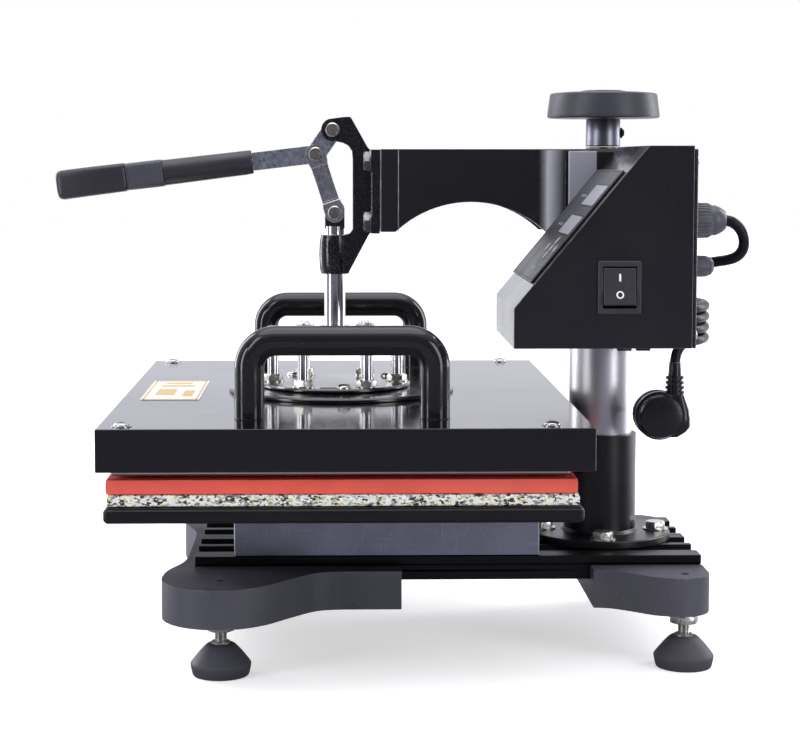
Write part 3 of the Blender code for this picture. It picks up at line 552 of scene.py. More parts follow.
def hex_head(place, inner, height, work=None, steps=48):
    """A chamfered hex head or nut, its base at place."""
    def ring(limit, h):
        return circle(inner, h, steps, place, lambda a, r: min(hexagon(a, r), limit))
    rings = [ring(inner * 1.04, 0), ring(inner * 2, height * 0.08), ring(inner * 2, height * 0.80),
             ring(inner * 0.97, height), ring(inner * 0.55, height)]
    return loft(rings, work)


def block(low, high, work=None, place=Matrix.Identity(4)):
    work = work or bmesh.new()
    made = bmesh.ops.create_cube(work, size=1.0)["verts"]
    size = Vector(high) - Vector(low)
    middle = (Vector(high) + Vector(low)) / 2
    for v in made:
        v.co = place @ (Vector((v.co.x * size.x, v.co.y * size.y, v.co.z * size.z)) + middle)
    return work


def plate(outline, low, high, place=Matrix.Identity(4), work=None):
    """A flat outline in x and y of place, with thickness from low to high in z."""
    rings = [[place @ Vector((x, y, h)) for x, y in outline] for h in (low, high)]
    return loft(rings, work)


def arc(centre, radius, start, end, count):
    points = []
    for i in range(count + 1):
        a = math.radians(start + (end - start) * i / count)
        points.append((centre[0] + radius * math.cos(a), centre[1] + radius * math.sin(a)))
    return points


def smooth_line(points, per_step):
    """A Catmull-Rom curve through the points."""
    line = []
    ends = [points[0], *points, points[-1]]
    for i in range(1, len(ends) - 2):
        a, b, c, d = (Vector(p) for p in ends[i - 1:i + 3])
        for k in range(per_step):
            t = k / per_step
            line.append(0.5 * (2 * b + (c - a) * t + (2 * a - 5 * b + 4 * c - d) * t * t
                               + (3 * b - a - 3 * c + d) * t ** 3))
    line.append(Vector(points[-1]))
    return line


def sweep(points, radius, sides, work=None):
    """A tube along points."""
    tangents = []
    for i in range(len(points)):
        a, b = points[max(i - 1, 0)], points[min(i + 1, len(points) - 1)]
        tangents.append((b - a).normalized())
    side = tangents[0].orthogonal().normalized()
    rings = []
    for point, tangent in zip(points, tangents):
        side = (side - tangent * side.dot(tangent)).normalized()
        other = tangent.cross(side)
        rings.append([point + side * (radius * math.cos(2 * math.pi * k / sides))
                      + other * (radius * math.sin(2 * math.pi * k / sides)) for k in range(sides)])
    return loft(rings, work)


# --- the lead ---------------------------------------------------------------------------------
CORD_D = 0.0072
COIL_R = 0.0400
COIL_FAR_X = 0.2225
LAYER = 0.0075
COIL_TOP = 0.2412
PLUG = (0.2239, -0.0414, 0.1618)


def cord_line():
    """The lead's centreline: round from the gland, four turns round the column, down to the plug."""
    free = [(0.2563, -0.1020, 0.2982), (0.2605, -0.1021, 0.2972), (0.2645, -0.1020, 0.2943),
            (0.2676, -0.1016, 0.2898), (0.2690, -0.1008, 0.2840), (0.2683, -0.0990, 0.2783),
            (0.2650, -0.0964, 0.2740), (0.2598, -0.0930, 0.2718), (0.2540, -0.0893, 0.2706),
            (0.2482, -0.0850, 0.2690), (0.2425, -0.0790, 0.2655), (0.2375, -0.0715, 0.2600),
            (0.2340, -0.0640, 0.2540), (0.2322, -0.0570, 0.2485), (0.2290, -0.0490, 0.2448),
            (0.2235, -0.0425, 0.2424), (0.2165, -COIL_R, COIL_TOP)]
    line = smooth_line(free, 3)
    straight = COIL_FAR_X - COLUMN_X
    turn = 2 * math.pi * COIL_R + 2 * straight
    begin = 0.2165 - COLUMN_X
    end = 4 * turn - (COIL_FAR_X - 0.2165) - math.radians(33) * COIL_R
    travelled = 0.006
    while travelled < end:
        s = (travelled + straight - begin) % turn
        z = COIL_TOP - LAYER * travelled / turn
        if s < straight:
            line.append(Vector((COIL_FAR_X - s, -COIL_R, z)))
        elif s < straight + math.pi * COIL_R:
            a = (s - straight) / COIL_R
            line.append(Vector((COLUMN_X - COIL_R * math.sin(a), -COIL_R * math.cos(a), z)))
        elif s < 2 * straight + math.pi * COIL_R:
            line.append(Vector((COLUMN_X + s - straight - math.pi * COIL_R, COIL_R, z)))
        else:
            a = (s - 2 * straight - math.pi * COIL_R) / COIL_R
            line.append(Vector((COIL_FAR_X + COIL_R * math.sin(a), COIL_R * math.cos(a), z)))
        travelled += 0.0055
    last, before = line[-1], line[-2]
    heading = Vector((last.x - before.x, last.y - before.y, 0)).normalized()
    bend = 2 * CORD_D
    for i in range(1, 9):
        a = math.radians(90 * i / 8)
        line.append(last + heading * (bend * math.sin(a)) - Z_AXIS * (bend * (1 - math.cos(a))))
    return [at(*point) for point in line]


def lead():
    line = cord_line()
    neck = line[-1]
    data = bpy.data.curves.new("lead", "CURVE")
    data.dimensions = "3D"
    data.bevel_depth = CORD_D / 2
    data.bevel_resolution = 4
    data.use_fill_caps = True
    spline = data.splines.new("POLY")
    spline.points.add(len(line) - 1)
    for point, place in zip(spline.points, line):
        point.co = (*place, 1)
    spline.use_smooth = True
    data.materials.append(SKINS["cord"].material)
    item = add(bpy.data.objects.new("mains_lead", data))
    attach(item, "arm")
    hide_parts("mains_cord", "cord_coil")

    plug = plug_body(neck)
    for i, x in enumerate((0.2000, 0.2130)):
        coil_tie(f"coil_tie_{i + 1}", x)


def coil_tie(name, x):
    """A strap round the coil's layers, its tail up on the bracket that holds it."""
    y0, y1 = -COIL_R - 0.0045, -COIL_R + 0.0045
    z0, z1 = COIL_TOP - 4 * LAYER - 0.0047, COIL_TOP + 0.0050
    y, z = (y0 + y1) / 2, (z0 + z1) / 2
    corner = 0.002
    ring = []
    for cy, cz, start in ((y1 - corner, z1 - corner, 0), (y0 + corner, z1 - corner, 90),
                          (y0 + corner, z0 + corner, 180), (y1 - corner, z0 + corner, 270)):
        ring += arc((cy, cz), 0.0022, start, start + 90, 4)
    half = 0.0045
    outer = [[at(x + dx, py, pz) for py, pz in ring] for dx in (-half, half)]
    inner = [[at(x + dx, y + (py - y) * 0.90, z + (pz - z) * 0.975) for py, pz in ring]
             for dx in (half, -half)]
    work = loft([*outer, *inner], closed=True)
    bracket_face = -0.0407
    block((x - 0.004, bracket_face, z1 - 0.0006), (x + 0.004, bracket_face + 0.0009, 0.2905),
          work, shift(0, 0, 0))
    return piece(name, work, "arm", "strap")


def plug_body(neck):
    """An angled plug: ribbed neck, wedge-shaped boot, round face and two pins."""
    x, y, z = PLUG
    work = bmesh.new()
    top = neck.z
    profile = [(0.0036, top + 0.0012), (0.0040, top + 0.0008), (0.0046, 0.1890)]
    for i in range(4):
        h = 0.1885 - i * 0.0034
        grow = 0.0002 * i
        profile += [(0.0062 + grow, h), (0.0062 + grow, h - 0.0017), (0.0050 + grow, h - 0.0019),
                    (0.0050 + grow, h - 0.0031)]
    profile.append((0.0056, 0.1745))
    sleeve = Matrix.Translation(Vector((neck.x, neck.y, 0)))
    lathe(profile, sleeve, 28, work)
    rings = []
    for h, left, right, depth in ((0.1760, -0.0058, 0.0060, 0.0062), (0.1715, -0.0070, 0.0075, 0.0078),
                                  (0.1660, -0.0088, 0.0094, 0.0092), (0.1600, -0.0100, 0.0102, 0.0098),
                                  (0.1540, -0.0108, 0.0103, 0.0098), (0.1505, -0.0110, 0.0075, 0.0094),
                                  (0.1470, -0.0105, 0.0020, 0.0082)):
        ring = []
        for k in range(32):
            a = 2 * math.pi * k / 32
            c, s = math.cos(a), math.sin(a)
            px = (right + left) / 2 + (right - left) / 2 * math.copysign(abs(c) ** 0.45, c)
            py = depth * math.copysign(abs(s) ** 0.45, s)
            ring.append(Vector((neck.x + px, neck.y + py, h)))
        rings.append(ring)
    loft(rings, work)
    boot = piece("plug_boot", work, "arm", "plug", ["mains_plug"])
    disc = basis(at(x, y, z), Y_AXIS)
    face = lathe([(0.0100, -0.0150), (0.0142, -0.0140), (0.0152, -0.0115), (0.0152, -0.0068),
                  (0.0168, -0.0064), (0.0168, -0.0020), (0.0156, -0.0014), (0.0156, 0.0030),
                  (0.0168, 0.0036), (0.0168, 0.0072), (0.0158, 0.0085), (0.0100, 0.0085)], disc, 40)
    body = piece("plug_face", face, "arm", "plug")
    pins = bmesh.new()
    sleeves = bmesh.new()
    for side in (-1, 1):
        line = basis(at(x + 0.0095 * side, y, z), Y_AXIS)
        lathe([(0.0024, 0.008), (0.0024, 0.0180)], line, 16, sleeves)
        lathe([(0.0023, 0.0181), (0.0023, 0.0262), (0.0012, 0.0275)], line, 16, pins)
    rods = piece("plug_pins", pins, "arm", "zinc")
    collars = piece("plug_pin_sleeves", sleeves, "arm", "plug")
    return [boot, body, rods, collars]


# --- base -------------------------------------------------------------------------------------
FEET = {"front_near": (-0.0754, -0.1145), "front_far": (-0.0754, 0.1145),
        "rear_near": (0.2330, -0.0995), "rear_far": (0.2330, 0.0995)}


def feet():
    for name, (x, y) in FEET.items():
        place = shift(x, y, 0)
        body = name + "_foot"
        work = lathe([(0.0120, 0.0008), (0.0165, 0.0000), (0.0182, 0.0003), (0.0188, 0.0014),
                      (0.0196, 0.0050), (0.0200, 0.0072), (0.0199, 0.0082), (0.0190, 0.0095),
                      (0.0166, 0.0126), (0.0138, 0.0160), (0.0116, 0.0184), (0.0100, 0.0200),
                      (0.0088, 0.0208), (0.0070, 0.0210)], place, 56)
        piece("pad_" + name, work, body, "rubber", ["foot_pad_" + name])
        work = bmesh.new()
        turns = []
        for i in range(13):
            h = 0.0211 + i * 0.0007
            turns += [(0.0036, h), (0.0040, h + 0.00035)]
        turns += [(0.0036, 0.0305), (0.0040, 0.0310), (0.0040, 0.0520)]
        lathe(turns, place, 24, work)
        spin = Matrix.Rotation(math.radians(9 if x > 0 else -4), 4, "Z")
        hex_head(place @ spin @ Matrix.Translation((0, 0, 0.0298)), 0.0085, 0.0062, work)
        lathe([(0.0062, 0.0211), (0.0062, 0.0225), (0.0040, 0.0232)], place, 24, work)
        piece("stud_" + name, work, body, "zinc", ["foot_stud_" + name])


def base():
    for name in ("front_foot_beam", "rear_foot_beam"):
        dress(name, "casting", 0.0012)
    for name in ("near_base_rail", "far_base_rail"):
        dress(name, "extrusion", 0.0004)
    dress("support_channel", "sheet_steel", 0.0012)
    dress("lower_platen", "paint_dull", 0.0012)
    dress("column_flange", "paint_dull", 0.0003)
    dress("column", "column_steel", 0.0003)
    dress("column_nut", "zinc", 0.0003)
    bolt_circle = 0.040
    for i in range(4):
        a = math.radians(-4) + i * math.pi / 2
        place = at(COLUMN_X + bolt_circle * math.cos(a), bolt_circle * math.sin(a), 0)
        spin = Matrix.Rotation(0.3 + i, 4, "Z")
        work = lathe([(0.0088, FLANGE_TOP + 0.0001), (0.0088, FLANGE_TOP + 0.0010),
                      (0.0040, FLANGE_TOP + 0.0011)], Matrix.Translation(place), 32)
        head = Matrix.Translation(place + Z_AXIS * (FLANGE_TOP + 0.0011)) @ spin
        hex_head(head, 0.0065, 0.0046, work)
        piece(f"flange_hex_{i + 1}", work, "base", "zinc", [f"flange_bolt_{i + 1}"])
    beam_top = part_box("front_foot_beam")[1].z
    for name, (x, y) in FEET.items():
        place = shift(x, y, beam_top - 0.0035)
        work = lathe([(0.0028, -0.0004), (0.0028, 0.0024), (0.0024, 0.0030), (0.0016, 0.0030),
                      (0.0015, 0.0014)], place, 20)
        piece("lobe_screw_" + name, work, "base", "plastic")


def pad_rim(low, high, inset, z):
    """The outline of a pad's box, that far inside it, as closely spaced points at height z."""
    x0, x1, y0, y1 = low.x + inset, high.x - inset, low.y + inset, high.y - inset
    wide, deep = 120, 150
    ring = [Vector((x0 + (x1 - x0) * i / wide, y0, z)) for i in range(wide)]
    ring += [Vector((x1, y0 + (y1 - y0) * i / deep, z)) for i in range(deep)]
    ring += [Vector((x1 - (x1 - x0) * i / wide, y1, z)) for i in range(wide)]
    ring += [Vector((x0, y1 - (y1 - y0) * i / deep, z)) for i in range(deep)]
    return ring


def pads():
    """The sponge and the silicone sheet, cut by hand: sides that are not quite flat."""
    inset, crease, fold = 0.0011, 0.0002, 0.001
    for name, cad, skin, slot, wave in (
            ("sponge_pad", "foam_pad", "foam", "foam_fleck", 0.0009),
            ("silicone_sheet", "silicone_pad", "silicone", "silicone_red", 0.0004)):
        low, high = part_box(cad)
        thick = high.z - low.z
        rows = [pad_rim(low, high, inset + fold, low.z)]
        for z, more in ((low.z + 0.0005, crease), (low.z + thick * 0.30, 0),
                        (low.z + thick * 0.70, 0), (high.z - 0.0004, crease)):
            rows.append(pad_rim(low, high, inset + more, z))
        rows.append(pad_rim(low, high, inset + fold, high.z))
        middle = (low + high) / 2
        for row in rows[1:-1]:
            for point in row:
                out = Vector((point.x - middle.x, point.y - middle.y, 0)).normalized()
                shake = noise.noise(point * 190) + 0.6 * noise.noise(point * 700)
                point += out * max(min(shake * wave, inset - crease), -0.0016)
        for row in rows:
            for point in row:
                point.z += 0.00015 * noise.noise(point * 40)
                point.z = min(max(point.z, low.z), high.z)
        piece(name, loft(rows), "base", skin, [cad])


# --- knob and arm -----------------------------------------------------------------------------
def knob():
    place = shift(COLUMN_X, 0, 0)
    work = lathe([(0.0210, 0.3672), (0.0370, 0.3670), (0.0386, 0.3672), (0.0392, 0.3677), (0.0394, 0.3684),
                  (0.0393, 0.3702), (0.0377, 0.3828), (0.0374, 0.3838), (0.0367, 0.3843), (0.0352, 0.3846),
                  (0.0270, 0.3853), (0.0200, 0.3856), (0.0175, 0.3855), (0.0165, 0.3846),
                  (0.0060, 0.3846)], place, 72)
    piece("knob_cap", work, "knob", "knob", ["pressure_knob"])
    badge = lathe([(0.0158, 0.3846), (0.0155, 0.3862), (0.0130, 0.3866), (0.0060, 0.3866)], place, 48)
    piece("knob_centre", badge, "knob", "plastic")
    low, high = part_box("knob_stem")
    stem = lathe([(0.0112, low.z), (0.0122, low.z + 0.0006), (0.0121, low.z + 0.0030),
                  (0.0120, high.z - 0.0010), (0.0114, high.z)], place, 56)
    piece("stem_sleeve", stem, "knob", "dark_chrome", ["knob_stem"])
    dress("thrust_washer", "dark_steel", 0.0003)
    screw = bmesh.new()
    turns = []
    for i in range(36):
        h = 0.2605 + i * 0.0020
        turns += [(0.0053, h), (0.0060, h + 0.0010)]
    lathe([(0.0045, 0.2600), *turns, (0.0060, 0.3340), (0.0060, 0.3470)], place, 24, screw)
    piece("threaded_screw", screw, "knob", "zinc", ["pressure_screw"])
    side = basis(at(COLUMN_X + 0.0118, 0, 0.3568), X_AXIS)
    work = lathe([(0.0024, 0), (0.0024, 0.0026), (0.0018, 0.0030), (0.0010, 0.0030)], side, 16)
    hex_head(side, 0.0036, 0.0016, work, 24)
    piece("stem_set_screw", work, "knob", "hole")


def arm():
    dress("swing_arm", "satin", 0.0006)
    dress("arm_collar", "satin", 0.0006, 3)
    dress("box_bracket", "bracket_reflection_paint", 0.0004)
    arm_cheek()
    # Pale grey beads along the arm end's seams: a painted highlight standing for the light lines there.
    seams = bmesh.new()
    low, high = ARM_Z[0] + 0.0005, ARM_Z[1] - 0.0005
    arm_side = 0.0250
    for y in (-arm_side, arm_side):
        for x in (0.0320, 0.0442):
            sweep([at(x, y, low + (high - low) * i / 10) for i in range(11)], 0.00035, 8, seams)
    piece("arm_end_seams", seams, "arm", "seam_highlight")
    dress("toggle_bracket", "enamel", 0.0011, 3)
    bracket_face = 0.0252
    for i, (y, z) in enumerate(((-0.0175, 0.3370), (-0.0175, 0.2945), (0.0175, 0.3370), (0.0175, 0.2945))):
        seat = basis(at(bracket_face, y, z), -X_AXIS)
        work = lathe([(0.0078, 0), (0.0078, 0.0009), (0.0050, 0.0010)], seat, 32)
        spin = Matrix.Rotation(0.2 * i, 4, "Z")
        hex_head(seat @ spin @ Matrix.Translation((0, 0, 0.0010)), 0.0065, 0.0042, work)
        piece(f"bracket_hex_{i + 1}", work, "arm", "dull_zinc", [f"bracket_bolt_{i + 1}"])
    rivet_pair("lever_pin_heads", LEVER_PIVOT, 0.0095, "arm", "lever_pivot_pin")
    # A thin near-black disc on the boss: painted shade standing for the oil hole.
    boss = basis(at(-0.0010, 0, 0.2735), -Y_AXIS)
    oil = lathe([(0.0011, 0.0108), (0.0012, 0.01125), (0.0005, 0.0113)], boss, 12)
    piece("oil_hole_shade", oil, "arm", "hole")


def arm_cheek():
    """The curved cheek where the arm's near side swells into the collar, above the arch."""
    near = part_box("swing_arm")[0].y
    x0, x1, out = 0.1415, 0.1588, -0.0390
    arch_x, arch_z, arch_r = 0.0945, 0.2327, 0.076
    steps = 18
    rings = []
    for i in range(steps + 1):
        t = i / steps
        x = x0 + (x1 - x0) * t
        under = arch_z + math.sqrt(arch_r ** 2 - (x - arch_x) ** 2)
        low, high = max(ARM_Z[0], under) + 0.0006, ARM_Z[1] - 0.0006
        y = near - 0.0002 + (out - near) * t ** 1.7
        rings.append([at(x, y, low), at(x, y, high), at(x, near + 0.004, high), at(x, near + 0.004, low)])
    piece("arm_cheek", loft(rings), "arm", "cheek")


def pin_heads(pivot, reach, rise, dip, heads, recess):
    """Turned heads that far to each side of pivot: rise is their heights, dip their dark recess's."""
    for side in (-1, 1):
        end = basis(at(pivot[0], side * reach, pivot[1]), Y_AXIS * side)
        lathe(list(zip((0.0048, 0.0051, 0.0050, 0.0043, 0.0037, 0.0034), rise)), end, 36, heads)
        lathe(list(zip((0.0033, 0.0033, 0.0026, 0.0010), dip)), end, 28, recess)


def rivet_pair(name, pivot, reach, body, node):
    """A pin with two turned heads, each with a dark recess."""
    work = bmesh.new()
    recess = bmesh.new()
    pin_heads(pivot, reach, (0.0, 0.0004, 0.0014, 0.0020, 0.0019, 0.0009),
              (0.0008, 0.0013, 0.0015, 0.0015), work, recess)
    bar = basis(at(pivot[0], 0, pivot[1]), Y_AXIS)
    lathe([(0.0033, -reach - 0.0002), (0.0033, reach + 0.0002)], bar, 28, work)
    piece(name, work, body, "zinc", [node] if node else ())
    piece(name + "_centres", recess, body, "dark_steel")


# --- control box ------------------------------------------------------------------------------
SLOPE_LOW, SLOPE_HIGH = (0.1107, 0.2462), (0.1936, 0.3466)


def slope_frame():
    """x up the sloping face, y across to the far side, z out of it."""
    rise = math.atan2(SLOPE_HIGH[1] - SLOPE_LOW[1], SLOPE_HIGH[0] - SLOPE_LOW[0])
    up = Vector((math.cos(rise), 0, math.sin(rise)))
    out = Vector((-math.sin(rise), 0, math.cos(rise)))
    turned = Matrix((up, Y_AXIS, out)).transposed().to_4x4()
    return shift(SLOPE_LOW[0], 0, SLOPE_LOW[1]) @ turned


def rounded(x0, x1, y0, y1, r):
    """A rectangle with round corners, for plate()."""
    return (arc((x1 - r, y1 - r), r, 0, 90, 4) + arc((x0 + r, y1 - r), r, 90, 180, 4)
            + arc((x0 + r, y0 + r), r, 180, 270, 4) + arc((x1 - r, y0 + r), r, 270, 360, 4))


def control_box():
    dress("control_box", "paint_box", 0.0007)
    dress("box_rear_plate", "paint", 0.0005)
    dress("display_panel", "panel", 0.0003)
    dress("switch_bezel", "plastic", 0.0005)
    dress("switch_rocker", "plastic", 0.0005)
    face = slope_frame()
    top = 0.00162
    marks = bmesh.new()

    def tile(x, y, half_x, half_y, r):
        outline = rounded(x - half_x, x + half_x, y - half_y, y + half_y, r)
        plate(outline, top - 0.0001, top + 0.00015, face, marks)

    windows = bmesh.new()
    frames = bmesh.new()
    for low, high in ((0.0570, 0.0712), (0.0803, 0.0962)):
        plate(rounded(low, high, -0.1610, -0.1090, 0.0012), top, top + 0.00025, face, windows)
        outline = rounded(low - 0.0013, high + 0.0013, -0.1624, -0.1076, 0.0020)
        plate(outline, top - 0.0001, top + 0.0001, face, frames)
    piece("display_windows", windows, "arm", "screen")
    piece("display_window_frames", frames, "arm", "print_dark")
    keys = bmesh.new()
    for x, y in ((0.0450, -0.1180), (0.0450, -0.1560), (0.0392, -0.1370), (0.0508, -0.1370),
                 (0.0450, -0.1370)):
        place = face @ Matrix.Translation((x, y, top))
        lathe([(0.0026, -0.0001), (0.0026, 0.0003), (0.0022, 0.00045), (0.0008, 0.00045)], place, 20, keys)
        washer(place, 0.0037, 0.0031, 0.0, 0.0002, 24, marks)
    for x in (0.0630, 0.0870):
        for y in (-0.0980, -0.0900, -0.0820):
            tile(x, y, 0.0010, 0.0026, 0.0005)
    for y in (-0.1330, -0.1250):
        tile(0.0281, y, 0.0019, 0.0022, 0.0006)
    rim = []
    for inset in (0.0014, 0.0020):
        outline = rounded(0.0190 + inset, 0.1095 - inset, -0.1655 + inset, -0.0495 - inset, 0.0020)
        rim.append([face @ Vector((x, y, top + 0.0001)) for x, y in outline])
    low_rim = [[point - (face.to_3x3() @ Z_AXIS) * 0.0003 for point in row] for row in rim]
    border = loft([rim[0], rim[1], low_rim[1], low_rim[0]], closed=True)
    piece("display_border", border, "arm", "print_dark")
    piece("display_keys", keys, "arm", "key")
    piece("display_key_marks", marks, "arm", "print_grey")

    switch_face = BOX_NEAR + 0.0025
    tilt = shift(0.1758, switch_face, 0.2593) @ Matrix.Rotation(math.radians(-7), 4, "X")
    signs = block((-0.0006, -0.00605, 0.0032), (0.0006, -0.00530, 0.0078), place=tilt)
    spot = tilt @ basis(Vector((0, -0.0056, -0.0052)), -Y_AXIS)
    washer(spot, 0.0024, 0.0015, -0.0006, 0.0004, 28, signs)
    piece("switch_marks", signs, "rocker", "print_light")
    work = bmesh.new()
    rear_face = 0.2240
    for y in (-0.1700, -0.0530):
        for z in (0.2290, 0.3370):
            pan_head(basis(at(rear_face, y, z), X_AXIS), 0.0032, 0.0016, work)
    piece("rear_plate_screws", work, "arm", "zinc")
    gland("mains_gland", (-0.1020, 0.2982), 0.0118, 0.70, 30)
    gland("heater_gland", (-0.1020, 0.2682), 0.0072, 0.86, 18)


def gland(node, place, radius, share, ribs):
    """A cable gland: a ribbed nut over that share of its length, then a smooth dome."""
    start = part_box("box_rear_plate")[1].x + 0.0003
    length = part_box(node)[1].x - start
    line = basis(Vector((start, *place)), X_AXIS)
    split = length * share

    def ribbed(angle, r):
        return r * (1.0 if math.cos(angle * ribs) > -0.35 else 0.95)

    work = lathe([(radius * 0.93, 0.0), (radius * 0.99, 0.0003), (radius * 0.99, split * 0.08),
                  (radius * 0.93, split * 0.10)], line, 48)
    lathe([(radius * 0.92, split * 0.09), (radius * 0.985, split * 0.14), (radius, split * 0.30),
           (radius * 0.97, split * 0.90), (radius * 0.88, split)], line, ribs * 6, work, ribbed)
    dome = length - split
    hole = CORD_D * 0.5 + 0.0002
    lathe([(radius * 0.78, split * 0.98), (radius * 0.84, split), (radius * 0.84, split + dome * 0.30),
           (radius * 0.74, split + dome * 0.62), (radius * 0.56, length * 0.985), (radius * 0.50, length),
           (hole, length), (hole, length * 0.95)], line, 48, work)
    piece(node + "_body", work, "arm", "gland", [node])


def pan_head(place, radius, height, work):
    """A domed screw head."""
    dome = ((1.0, 0.0), (1.0, 0.22), (0.96, 0.45), (0.86, 0.68), (0.70, 0.86), (0.50, 0.96), (0.26, 1.0),
            (0.02, 1.0))
    lathe([(radius * r, height * h) for r, h in dome], place, 40, work)


def cross_recess_shade(place, radius, height, work):
    """A cross of near-black blocks laid a hair above a screw head's dome: painted shade standing for the
    cross recess.
    """
    long, thin = radius * 0.46, radius * 0.09
    for turn in (0, 1):
        bar = place @ Matrix.Rotation(turn * math.pi / 2 + 0.4, 4, "Z")
        block((-long, -thin, height * 0.93), (long, thin, height * 1.02), work, bar)


# --- upper platen -----------------------------------------------------------------------------
def handle(side, y):
    middle, half, radius, bend = 0.0046, 0.0586, 0.0095, 0.0165
    foot = COVER_TOP + 0.0003
    top = 0.2338 - radius
    left = arc((middle - half + bend, top - bend), bend, 180, 90, 12)
    right = arc((middle + half - bend, top - bend), bend, 90, 0, 12)
    rise = [(middle - half, foot + 0.0002 + 0.004 * i) for i in range(8)]
    fall = [(middle + half, z) for _, z in reversed(rise)]
    line = [at(x, y, z) for x, z in rise + left + right + fall]
    work = sweep(line, radius, 32)
    for x in (middle - half, middle + half):
        lathe([(0.0098, foot), (0.0098, foot + 0.0003), (0.0094, foot + 0.0005)],
              shift(x, y, 0), 40, work)
    piece("handle_" + side, work, "platen", "paint_tube", ["lift_handle_" + side])


def crown():
    """The wiring cage: a base disc, a lower plate, six pillars with nuts and a top plate."""
    dress("crown_base", "paint", 0.0003)
    disc = COVER_TOP + 0.0036
    centre = shift(0, 0, 0)
    work = lathe([(0.0100, disc), (0.0525, disc), (0.0533, disc + 0.0008), (0.0533, disc + 0.0018),
                  (0.0522, disc + 0.0028), (0.0100, disc + 0.0028)], centre, 72)
    under = CROWN_TOP - 0.0050
    lathe([(0.0100, under), (0.0512, under), (0.0520, under + 0.0006), (0.0520, CROWN_TOP - 0.0006),
           (0.0512, CROWN_TOP), (0.0078, CROWN_TOP)], centre, 72, work)
    piece("crown_plates", work, "platen", "paint", ["crown_cage"])
    posts = bmesh.new()
    nuts = bmesh.new()
    pillar_circle = 0.044
    for i in range(6):
        a = i * math.pi / 3
        spot = shift(pillar_circle * math.cos(a), pillar_circle * math.sin(a), 0)
        lathe([(0.0040, disc + 0.002), (0.0040, 0.2200), (0.0034, 0.2204)], spot, 24, posts)
        spin = spot @ Matrix.Rotation(0.4 * i, 4, "Z")
        for z in (disc + 0.0029, CROWN_TOP + 0.0001):
            lathe([(0.0078, z), (0.0078, z + 0.0008)], spot, 28, nuts)
            hex_head(spin @ Matrix.Translation((0, 0, z + 0.0008)), 0.0062, 0.0042, nuts)
        hex_head(spin @ Matrix.Translation((0, 0, under - 0.0046)), 0.0062, 0.0044, nuts)
    for x, y in ((0.0062, -0.0465), (-0.0300, 0.0375), (0.0380, 0.0310)):
        pan_head(shift(x, y, disc + 0.0028), 0.0050, 0.0030, nuts)
    # A near-black plate on the base disc: painted shade standing for a slot.
    slot = plate(rounded(-0.0105, 0.0015, -0.0465, -0.0425, 0.0015), disc + 0.0026, disc + 0.00295,
                 shift(0, 0, 0))
    piece("crown_slot_shade", slot, "platen", "hole")
    piece("crown_pillars", posts, "platen", "chrome")
    piece("crown_fixings", nuts, "platen", "zinc")


def shaft():
    centre = shift(0, 0, 0)
    work = lathe([(0.0070, CROWN_TOP + 0.0002), (0.0075, CROWN_TOP + 0.0007), (0.0075, 0.2848),
                  (0.0067, 0.2854), (0.0066, 0.2860), (0.0066, 0.2912)], centre, 48)
    piece("shaft_rod", work, "platen", "chrome", ["press_shaft"])
    cx, cz = SHAFT_PIVOT
    eye = [(-0.0069, 0.2895), (0.0069, 0.2895)] + arc((cx, cz + 0.002), 0.0069, 0, 180, 24)
    upright = Matrix(((1, 0, 0, SHAFT_X), (0, 0, 1, 0), (0, 1, 0, 0), (0, 0, 0, 1)))
    piece("shaft_eye", plate(eye, -0.0027, 0.0027, upright), "platen", "satin", width=0.0004)
    nut = lathe([(0.0098, CROWN_TOP + 0.0001), (0.0098, CROWN_TOP + 0.0009)], centre, 36)
    hex_head(centre @ Matrix.Translation((0, 0, CROWN_TOP + 0.0009)), 0.0112, 0.0052, nut)
    piece("shaft_nut", nut, "platen", "zinc")
    dress("shaft_pin", "zinc")


def platen():
    dress("platen_cover", "paint_cover", 0.0008, 3)
    dress("heating_plate", "aluminium", 0.0006)
    dress("insulation_pad", "wool")
    handle("near", -0.153)
    handle("far", 0.153)
    crown()
    shaft()
    work = bmesh.new()
    marks = bmesh.new()
    radius, height = 0.0052, 0.0026
    for x in (-0.1310, 0.1336):
        for y in (-0.187, 0.187):
            seat = shift(x, y, COVER_TOP + 0.0001)
            pan_head(seat, radius, height, work)
            lathe([(0.0064, COVER_TOP + 0.00005), (0.0064, COVER_TOP + 0.0005), (radius, COVER_TOP + 0.0007)],
                  shift(x, y, 0), 32, work)
            cross_recess_shade(seat, radius, height, marks)
    piece("cover_screws", work, "platen", "screw_steel")
    # The crosses are near-black: painted shade of the screws' cross recesses.
    piece("cover_screw_cross_shade", marks, "platen", "hole")
    z = COVER_TOP + 0.0001
    flat = shift(0, 0, z)
    piece("blank_label", plate(rounded(-0.1330, -0.0925, -0.0580, 0.0545, 0.0015), 0, 0.00025, flat),
          "platen", "label")
    trim = bmesh.new()
    for x0, x1, y0, y1 in ((-0.1315, -0.0940, -0.0565, -0.0548), (-0.1315, -0.0940, 0.0513, 0.0530),
                           (-0.1315, -0.1303, -0.0565, 0.0530), (-0.0952, -0.0940, -0.0565, 0.0530),
                           (-0.1250, -0.1120, -0.0300, 0.0020), (-0.1060, -0.0990, -0.0380, -0.0060),
                           (-0.1250, -0.1010, 0.0180, 0.0260), (-0.1230, -0.1040, 0.0350, 0.0420)):
        plate([(x0, y0), (x1, y0), (x1, y1), (x0, y1)], 0.0002, 0.0004, flat, trim)
    piece("label_border", trim, "platen", "print_ochre")


